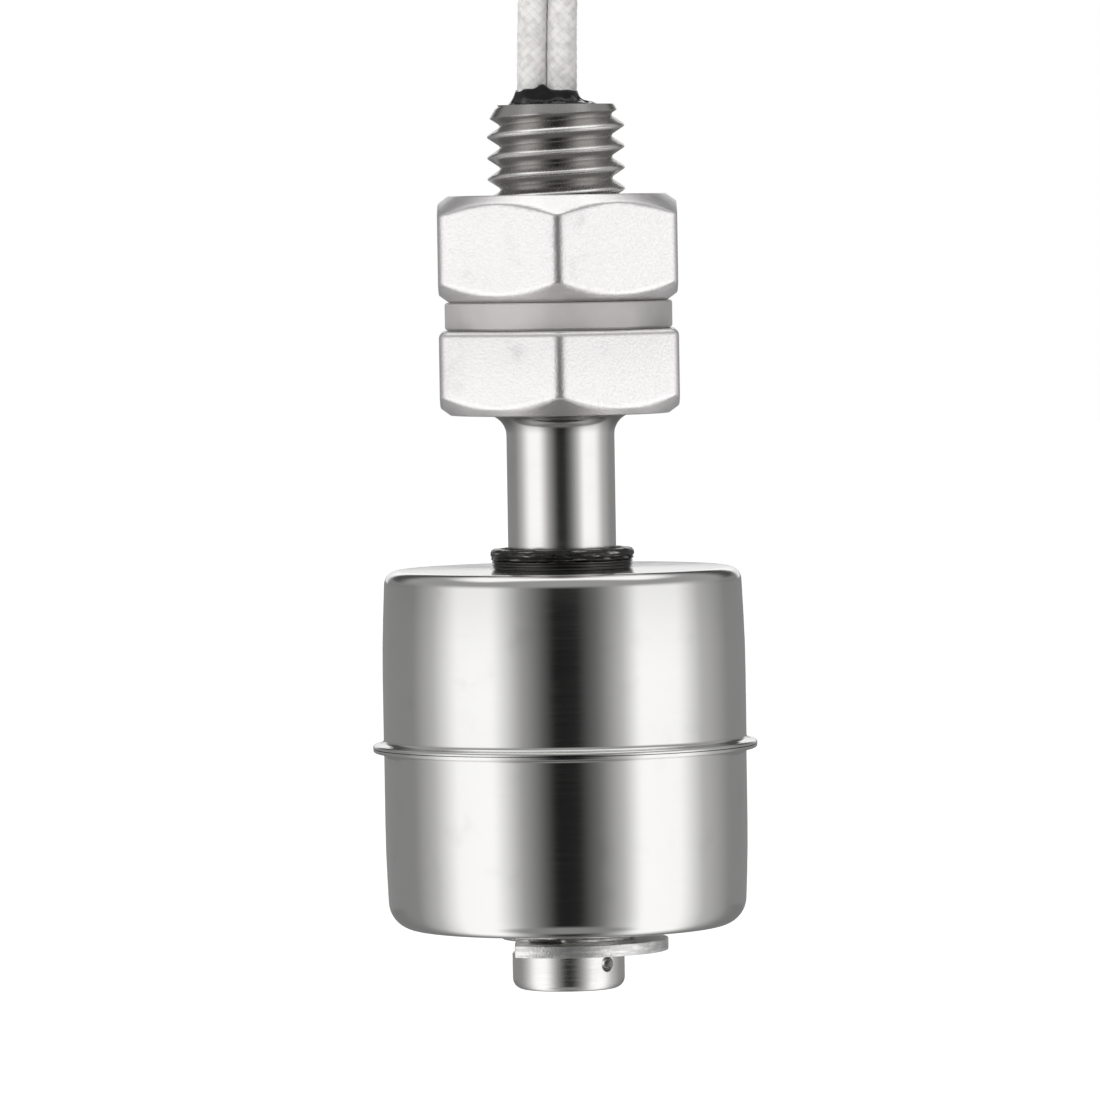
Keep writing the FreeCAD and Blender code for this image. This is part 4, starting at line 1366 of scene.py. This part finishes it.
@dataclass
class Stem:
    """The turned stem: threaded neck, hexagonal flange, stem, clip groove, marked tip and bore.

    Attributes:
        relief_top: the upper end of the plain groove between the thread and the flange.
        flange_round: the rounding of the flange's upper edge.
        round_steps: rings in that rounding.
        flange_inset: how far the circle on the flange's lower face stands inside the flats.
        tip_round: the rounding of the tip's end.
        tip_rings: the heights of the rings that part the skin near the punched mark.
        broken_edge: the rounding of the clip groove's edges.
        bore_edge: how wide the bore's upper edge is broken.
        mark_angle: the punched mark's place round the axis, in degrees.
        mark_reaches: how far from its middle the skin is made finer, each time.
        mark_cuts: how many new points an edge gets there.
        step: how far beyond the flange's faces the finish changes.
    """

    thread: Thread = field(default_factory=Thread)
    hexagon: Hexagon = field(default_factory=Hexagon)
    thread_top: float = NECK_TOP
    relief_top: float = 1.2
    flange_height: float = 6.0
    flange_round: float = 0.45
    round_steps: int = 6
    flange_inset: float = 0.7
    stem_r: float = 3.85
    fillet: float = 1.5
    groove_r: float = 3.5
    groove_high: float = -43.4
    groove_low: float = -44.35
    tip_r: float = 4.0
    tip_low: float = -47.0
    tip_round: float = 0.8
    tip_rings: tuple[float, ...] = (-44.7, -45.0, -45.3, -45.7)
    broken_edge: float = 0.08
    bore_r: float = 2.9
    bore_low: float = -45.5
    bore_edge: float = 0.12
    mark_r: float = 0.56
    mark_depth: float = 0.55
    mark_height: float = -45.1
    mark_angle: float = -46.0
    mark_reaches: tuple[float, ...] = (1.0, 0.75)
    mark_cuts: int = 2
    step: float = 0.02

    def build(self) -> None:
        """Makes the stem as one closed skin."""
        skin = Skin()
        skin.join(self.thread.grow(self.relief_top, self.thread_top))
        columns = self.thread.columns
        skin.turned([(self.thread.root, self.relief_top), (self.thread.root, 0.0)], columns)
        skin.turned(self._bore_section(), columns)
        self._flange(skin)
        skin.close_flat(0.0)
        skin.turned(self._lower_section(), columns)
        skin.close_flat(-self.flange_height)
        self._punch_mark(skin)
        stem = skin.finish("threaded_stem", sharp=38.0)
        dress(stem, TURNED_STEM, Body.STEM, ["stem_body"])
        self._dress_faces(stem)

    def _bore_section(self) -> Section:
        """From the thread's rim over the bore's edge to the bottom of the bore."""
        return [
            (self.thread.rim, self.thread_top),
            (self.bore_r + self.bore_edge, self.thread_top),
            (self.bore_r, self.thread_top - self.bore_edge),
            (self.bore_r, self.bore_low),
            (0.0, self.bore_low),
        ]

    def _flange(self, skin: Skin) -> None:
        """The hexagon: rounded top edge, plain sides and chamfered lower corners."""
        rows = []
        for k in range(self.round_steps + 1):
            angle = math.pi / 2 * k / self.round_steps
            inset = self.flange_round * (1 - math.sin(angle))
            rows.append(self.hexagon.row(-self.flange_round * (1 - math.cos(angle)), None, inset))
        rows += self.hexagon.chamfered_rows(-self.flange_height, 1, self.flange_inset)[::-1]
        skin.rows(rows)

    def _lower_section(self) -> Section:
        """From the fillet under the flange to the middle of the tip."""
        under = -self.flange_height
        return rounded_section([
            (self.stem_r + self.fillet, under, 0.0),
            (self.stem_r, under, self.fillet),
            (self.stem_r, self.groove_high, self.broken_edge),
            (self.groove_r, self.groove_high, 0.0),
            (self.groove_r, self.groove_low, 0.0),
            (self.tip_r, self.groove_low, self.broken_edge),
            *((self.tip_r, height, 0.0) for height in self.tip_rings),
            (self.tip_r, self.tip_low, self.tip_round),
            (0.0, self.tip_low, 0.0),
        ], closed=False)

    def _punch_mark(self, skin: Skin) -> None:
        """Presses the small round mark into the tip, where the skin is made finer first."""
        centre = polar(self.tip_r, math.radians(self.mark_angle), self.mark_height)
        for reach in self.mark_reaches:
            near = [e for e in skin.mesh.edges
                    if all((v.co - centre).length < reach for v in e.verts)]
            bmesh.ops.subdivide_edges(skin.mesh, edges=near, cuts=self.mark_cuts, use_grid_fill=True)
        for v in skin.mesh.verts:
            away = (v.co - centre).length
            if away < self.mark_r:
                depth = (1 - (away / self.mark_r) ** 2) * self.mark_depth
                inward = Vector((v.co.x, v.co.y, 0)).normalized()
                v.co -= inward * depth

    def _dress_faces(self, stem: bpy.types.Object) -> None:
        """Gives the hexagon, the thread and the tip finishes of their own."""
        places = {"plain": 0}
        for word, finish in (("hexagon", SATIN_HEX), ("thread", ROLLED_THREAD), ("tip", BRUSHED_TIP)):
            places[word] = len(stem.data.materials)
            stem.data.materials.append(finish.material())
        for face in stem.data.polygons:
            face.material_index = places[self._part_at(face.center)]

    def _part_at(self, spot: Vector) -> str:
        """Which part of the stem a point is on, the point in metres."""
        step = self.step * MM
        if spot.z > step:
            return "thread"
        if spot.z < self.groove_low * MM:
            return "tip"
        beside_stem = math.hypot(spot.x, spot.y) > (self.stem_r + self.fillet) * MM
        return "hexagon" if beside_stem and spot.z > -self.flange_height * MM - step else "plain"


@dataclass
class LockNut:
    """The loose hexagonal nut with its own thread, chamfered on both faces.

    Attributes:
        inset: how far each face's circle stands inside the flats.
        clearance: how far its thread stands off the neck's.
        sink: the radius of the countersinks.
    """

    thread: Thread = field(default_factory=Thread)
    hexagon: Hexagon = field(default_factory=Hexagon)
    low: float = GASKET_THICK
    high: float = 9.6
    inset: float = 0.75
    bore: float = 4.3
    clearance: float = 0.06
    sink: float = 5.5

    def build(self) -> None:
        """Makes the nut as one closed skin."""
        skin = Skin()
        skin.join(self.thread.grow(self.low, self.high, self.clearance, self.bore, self.sink))
        rows = self.hexagon.chamfered_rows(self.low, 1, self.inset)
        rows += self.hexagon.chamfered_rows(self.high, -1, self.inset)[::-1]
        skin.rows(rows)
        skin.close_flat(self.low)
        skin.close_flat(self.high)
        nut = skin.finish("hexagon_nut", sharp=38.0)
        dress(nut, SATIN_HEX, Body.NUT, ["lock_nut"])


@dataclass
class Gasket:
    """The moulded silicone ring between the flange and the nut.

    Attributes:
        bevel: how wide the lower bevel of the outer edge is. The upper one is half as wide.
        softening: the rounding of its edges.
    """

    inner: float = 5.05
    outer: float = 8.1
    thick: float = GASKET_THICK
    bevel: float = 0.2
    softening: float = 0.06
    columns: int = 144

    def build(self) -> None:
        """Makes the ring, its outer edges bevelled and softened."""
        soft = self.softening
        section = rounded_section([
            (self.inner, 0.0, soft),
            (self.outer - self.bevel, 0.0, soft),
            (self.outer, self.bevel, soft),
            (self.outer, self.thick - self.bevel / 2, soft),
            (self.outer - self.bevel / 2, self.thick, soft / 2),
            (self.inner, self.thick, soft),
        ], closed=True)
        skin = Skin()
        skin.turned(section + section[:1], self.columns)
        ring = skin.finish("sealing_ring", sharp=50.0)
        dress(ring, SILICONE, Body.STEM, ["gasket"])


@dataclass
class Potting:
    """The black epoxy: a plug in the bore and the uneven mound that creeps up the leads.

    Attributes:
        rim: the height of the neck's end face.
        under_rim: how far below the rim the plug ends and the mound's edge begins.
        pair_x: the middle of the two leads.
        half_pair: from there to a lead's middle.
        reach: how far the mound spreads over the rim, how much farther on the left, and how unevenly.
        outline: the circle in the noise that gives that unevenness, as a radius and a height.
        climb: how high the epoxy climbs at a lead, how far out that holds, and how softly it ends.
        fillet: the height of the fillet between the leads, at the front and at the back.
        fillet_spot: its middle, as x from the pair's middle and y.
        fillet_size: how far it reaches in x and in y.
        body: the mound's height elsewhere.
        lump: how high its lumps are.
        lumps_per_mm: how often they repeat.
        lump_level: the height in the noise that gives them.
        film: the thickness at the mound's edge.
        shoulder: how steeply the mound rises from there.
        rings: rings from its edge to the leads.
    """

    plug_r: float = 2.88
    plug_low: float = 4.0
    rim: float = NECK_TOP
    under_rim: Pair = (0.1, 0.06)
    pair_x: float = LEADS_X
    half_pair: float = LEAD_D / 2
    lead_r: float = LEAD_D / 2
    reach: Triple = (3.12, 0.24, 0.15)
    outline: Pair = (1.3, 4.0)
    climb: Triple = (0.9, 0.12, 0.28)
    fillet: float = 0.5
    fillet_spot: Pair = (-0.25, 0.8)
    fillet_size: Pair = (0.45, 0.6)
    body: float = 0.08
    lump: float = 0.22
    lumps_per_mm: float = 1.4
    lump_level: float = 1.7
    film: float = 0.02
    shoulder: float = 6.0
    columns: int = 96
    rings: int = 40

    def build(self) -> None:
        """Makes the plug and the mound as one closed skin."""
        turns = [FULL_TURN * i / self.columns for i in range(self.columns)]
        plug_top, edge_low = (self.rim - under for under in self.under_rim)
        plug = ((0.0, self.plug_low), (self.plug_r, self.plug_low), (self.plug_r, plug_top))
        rows = [[polar(r, a, z) for a in turns] for r, z in plug]
        rows.append([self._edge_point(a, edge_low) for a in turns])
        rows += [[self._mound_point(a, 1 - k / self.rings) for a in turns] for k in range(self.rings + 1)]
        skin = Skin()
        skin.rows(rows)
        mound = skin.finish("epoxy_mound", sharp=70.0)
        dress(mound, EPOXY, Body.STEM, ["potting"])

    def _edge_point(self, angle: float, height: float) -> Vector:
        """The mound's uneven outline on the rim."""
        mean, leftward, uneven = self.reach
        size, level = self.outline
        wave = noise.noise(polar(size, angle, level))
        return polar(mean + leftward * math.cos(angle - math.pi) + uneven * wave, angle, height)

    def _mound_point(self, angle: float, share: float) -> Vector:
        """A point of the mound, at a share of the way from the leads' middle to the edge."""
        edge = self._edge_point(angle, self.rim)
        x = self.pair_x * (1 - share) + edge.x * share
        y = edge.y * share
        return Vector((x, y, self.rim + self._height(x, y, share)))

    def _height(self, x: float, y: float, share: float) -> float:
        """How high the epoxy stands over the rim at a point."""
        high, steady, fade = self.climb
        beside = max(0.0, abs(x - self.pair_x) - self.half_pair)
        away = math.hypot(beside, y) - self.lead_r - steady
        climb = high * math.exp(-max(0.0, away) / fade)
        spot_x, spot_y = self.fillet_spot
        wide, deep = self.fillet_size
        off_spot = ((x - self.pair_x - spot_x) / wide) ** 2 + ((abs(y) - spot_y) / deep) ** 2
        fillet = self.fillet * math.exp(-off_spot)
        per_mm = self.lumps_per_mm
        lumps = self.lump * noise.noise(Vector((x * per_mm, y * per_mm, self.lump_level)))
        shoulder = min(1.0, (1 - share) * self.shoulder)
        return self.film + math.sqrt(shoulder) * (self.body + climb + fillet + lumps)


@dataclass
class Float:
    """The drawn float: two shells with a welded seam flange, a centre tube with rolled lips and a magnet.

    Attributes:
        wall_r: the wall's radius at the seam.
        crown: how far the wall leans in towards its ends.
        crown_share: where it does so most, as a share of the shell's height.
        crown_r: the radius of that bend.
        wall_step: how much smaller the lower shell is.
        seam_round: the rounding between the wall and the flange.
        rim_round: the rounding of the flange's rim.
        rim_gap: half the gap between the two flanges.
        neck_top: the upper neck's end.
        neck_bottom: the lower neck's end.
        neck_round: the rounding at a neck's foot.
        neck_rings: the heights of the rings on the upper neck.
        ring_line: a ring's outer line, as the radius over the neck and the height over its middle.
        ring_round: the rounding of a ring's edges.
        lip_high: the upper lip's end.
        lip_low: the lower lip's end.
        lower_lip: its corners, as the radius over lip_r, the height over lip_low and the rounding.
        upper_lip: its corners, as the radius over lip_r, the height over neck_top and the rounding.
        lip_rounds: the rounding of the upper lip's end, outside and inside.
        lip_edge: the rounding of the other edges.
        roll_marks: how often the rolling marks repeat, round and along, in the noise that gives them.
        roll_depths: how deep the coarse and the fine marks are.
        roll_fine: how much finer the fine ones are.
        roll_wave: how far the upper lip's height varies, and how often against the marks.
        roll_inset: how far a lip is pressed in everywhere.
        lip_margin: how far out from the tube the marks begin.
        turn_step: the largest turn between two points of a rounding, in degrees.
    """

    wall_r: float = 12.94
    crown: float = 0.24
    crown_share: float = 0.43
    crown_r: float = 90.0
    wall_step: float = 0.02
    sheet: float = 0.3
    low: float = -42.6
    high: float = -17.0
    seam: float = -29.65
    seam_r: float = 13.7
    seam_round: float = 0.35
    rim_round: float = 0.2
    rim_gap: float = 0.03
    top_round: float = 1.0
    bottom_round: float = 2.0
    neck_r: float = 4.95
    neck_top: float = -16.35
    neck_bottom: float = -42.9
    neck_round: float = 0.35
    neck_rings: tuple[float, ...] = (-16.5, -16.72)
    ring_line: tuple[Pair, ...] = ((0.07, 0.05), (0.07, -0.03), (0.0, -0.08))
    ring_round: float = 0.03
    tube_in: float = 4.3
    tube_out: float = 4.6
    lip_r: float = 5.15
    lip_high: float = -15.55
    lip_low: float = -43.4
    lower_lip: tuple[Corner, ...] = ((-0.5, 0.0, 0.1), (0.0, 0.27, 0.12))
    upper_lip: tuple[Corner, ...] = (
        (-0.04, 0.0, 0.1), (-0.04, 0.14, 0.04), (-0.14, 0.18, 0.03), (0.0, 0.24, 0.22),
    )
    lip_rounds: Pair = (0.32, 0.3)
    lip_edge: float = 0.1
    roll_marks: Pair = (9.0, 2.0)
    roll_depths: Pair = (0.12, 0.04)
    roll_fine: float = 4.0
    roll_wave: Pair = (0.06, 0.5)
    roll_inset: float = 0.02
    lip_margin: float = 0.1
    turn_step: float = 6.0
    columns: int = 256
    tube_columns: int = 240

    def build(self) -> None:
        """Makes the shells and the tube, and dresses what is inside."""
        upper = self._shell("upper_float_shell", self._upper_section())
        dress(upper, POLISHED, Body.FLOAT, ["float_upper_shell"])
        lower = self._shell("lower_float_shell", self._lower_section())
        dress(lower, POLISHED, Body.FLOAT, ["float_lower_shell"])
        tube = self._tube()
        dress(tube, PAINTED_DARK_LIP, Body.FLOAT, ["float_sleeve"])
        dress_node("ring_magnet", FERRITE)
        dress_node("magnet_stop_lower", SPRING)
        dress_node("magnet_stop_upper", SPRING)

    def _upper_section(self) -> Section:
        """The upper shell's outer line, from the ringed neck to the rim of the seam flange."""
        neck = self.neck_r
        rings = [(neck + out, middle + up, self.ring_round)
                 for middle in self.neck_rings for out, up in self.ring_line]
        return rounded_section([
            (neck, self.neck_top, 0.0),
            *rings,
            (neck, self.high, self.neck_round / 2),
            (self.wall_r - self.crown, self.high, self.top_round),
            (self.wall_r, self.high - (self.high - self.seam) * self.crown_share, self.crown_r),
            (self.wall_r, self.seam + self.sheet, self.seam_round),
            (self.seam_r, self.seam + self.sheet, self.rim_round),
            (self.seam_r, self.seam + self.rim_gap, 0.0),
        ], closed=False, step=self.turn_step)

    def _lower_section(self) -> Section:
        """The lower shell's outer line, from the seam flange down to its neck."""
        wall = self.wall_r - self.wall_step
        height = self.seam - self.low
        return rounded_section([
            (self.seam_r, self.seam - self.rim_gap, 0.0),
            (self.seam_r, self.seam - self.sheet, self.rim_round),
            (wall, self.seam - self.sheet, self.seam_round),
            (wall, self.low + height * self.crown_share, self.crown_r),
            (wall - self.crown, self.low, self.bottom_round),
            (self.neck_r, self.low, self.neck_round / 2),
            (self.neck_r, self.neck_bottom, 0.0),
        ], closed=False, step=self.turn_step)

    def _shell(self, name: str, section: Section) -> bpy.types.Object:
        """One shell of even thickness behind its outer line."""
        skin = Skin()
        skin.turned(section + self._moved_in(section)[::-1] + section[:1], self.columns)
        return skin.finish(name, sharp=40.0)

    def _moved_in(self, section: Section) -> Section:
        """The same line moved to the inside of the float by the sheet's thickness."""
        spots = [Vector(p) for p in section]
        last = len(spots) - 1
        moved = []
        for i, spot in enumerate(spots):
            way = (spots[min(last, i + 1)] - spots[max(0, i - 1)]).normalized()
            moved.append(tuple(spot + Vector((way.y, -way.x)) * self.sheet))
        return moved

    def _tube(self) -> bpy.types.Object:
        """The centre tube with a rolled lip at each end, the upper one uneven as it was rolled."""
        outer_round, inner_round = self.lip_rounds
        section = rounded_section([
            (self.tube_in, self.lip_low, self.lip_edge),
            *((self.lip_r + out, self.lip_low + up, rounding) for out, up, rounding in self.lower_lip),
            (self.lip_r, self.neck_bottom, self.lip_edge),
            (self.tube_out, self.neck_bottom, 0.0),
            (self.tube_out, self.neck_top, 0.0),
            *((self.lip_r + out, self.neck_top + up, rounding) for out, up, rounding in self.upper_lip),
            (self.lip_r, self.lip_high, outer_round),
            (self.tube_in, self.lip_high, inner_round),
        ], closed=True)
        skin = Skin()
        skin.turned(section + section[:1], self.tube_columns)
        skin.weld()
        for v in skin.mesh.verts:
            v.co = self._rolled(v.co)
        return skin.finish("float_centre_tube", sharp=45.0)

    def _rolled(self, spot: Vector) -> Vector:
        """Where a point of a lip lies after the rolling tool has left its marks."""
        radius = math.hypot(spot.x, spot.y)
        if radius < self.tube_out + self.lip_margin:
            return spot
        round_it, along = self.roll_marks
        where = polar(round_it, math.atan2(spot.y, spot.x), spot.z * along)
        coarse, fine = self.roll_depths
        shift = coarse * noise.noise(where) + fine * noise.noise(where * self.roll_fine)
        share = (radius - self.roll_inset + min(0.0, shift)) / radius
        wave, wave_scale = self.roll_wave
        lift = wave * noise.noise(where * wave_scale) if spot.z > self.high else 0.0
        return Vector((spot.x * share, spot.y * share, spot.z + lift))


@dataclass
class Inside:
    """What is sealed in the stem's bore, and the clip in its groove.

    Attributes:
        finishes: the finish of each sealed node.
        clip_bevel: how wide the clip's softened edges are.
    """

    finishes: dict[str, Finish] = field(default_factory=lambda: {
        "reed_glass": GLASS,
        "reed_blade_upper": REED_ALLOY,
        "reed_blade_lower": REED_ALLOY,
        "inner_wire_left": INSULATION,
        "inner_wire_right": INSULATION,
        "solder_joint_upper": SOLDER,
        "solder_joint_lower": SOLDER,
        "insulating_sleeve": SLEEVE,
    })
    clip_bevel: float = 0.07

    def build(self) -> None:
        """Dresses the sealed nodes and makes the clip."""
        for node, finish in self.finishes.items():
            dress_node(node, finish)
        clip = cad_copy("retaining_clip", "e_clip", self.clip_bevel)
        dress(clip, CLIP_STEEL, Body.STEM, ["retaining_clip"])


def main() -> None:
    """Builds the scene: the camera and the leads first, then the switch from top to bottom."""
    logging.basicConfig(level=logging.INFO, format="%(name)s: %(message)s")
    for part in (Photographer, Leads, Studio, Potting, Stem, LockNut, Gasket, Float, Inside):
        part().build()


if __name__ == "__main__":
    main()
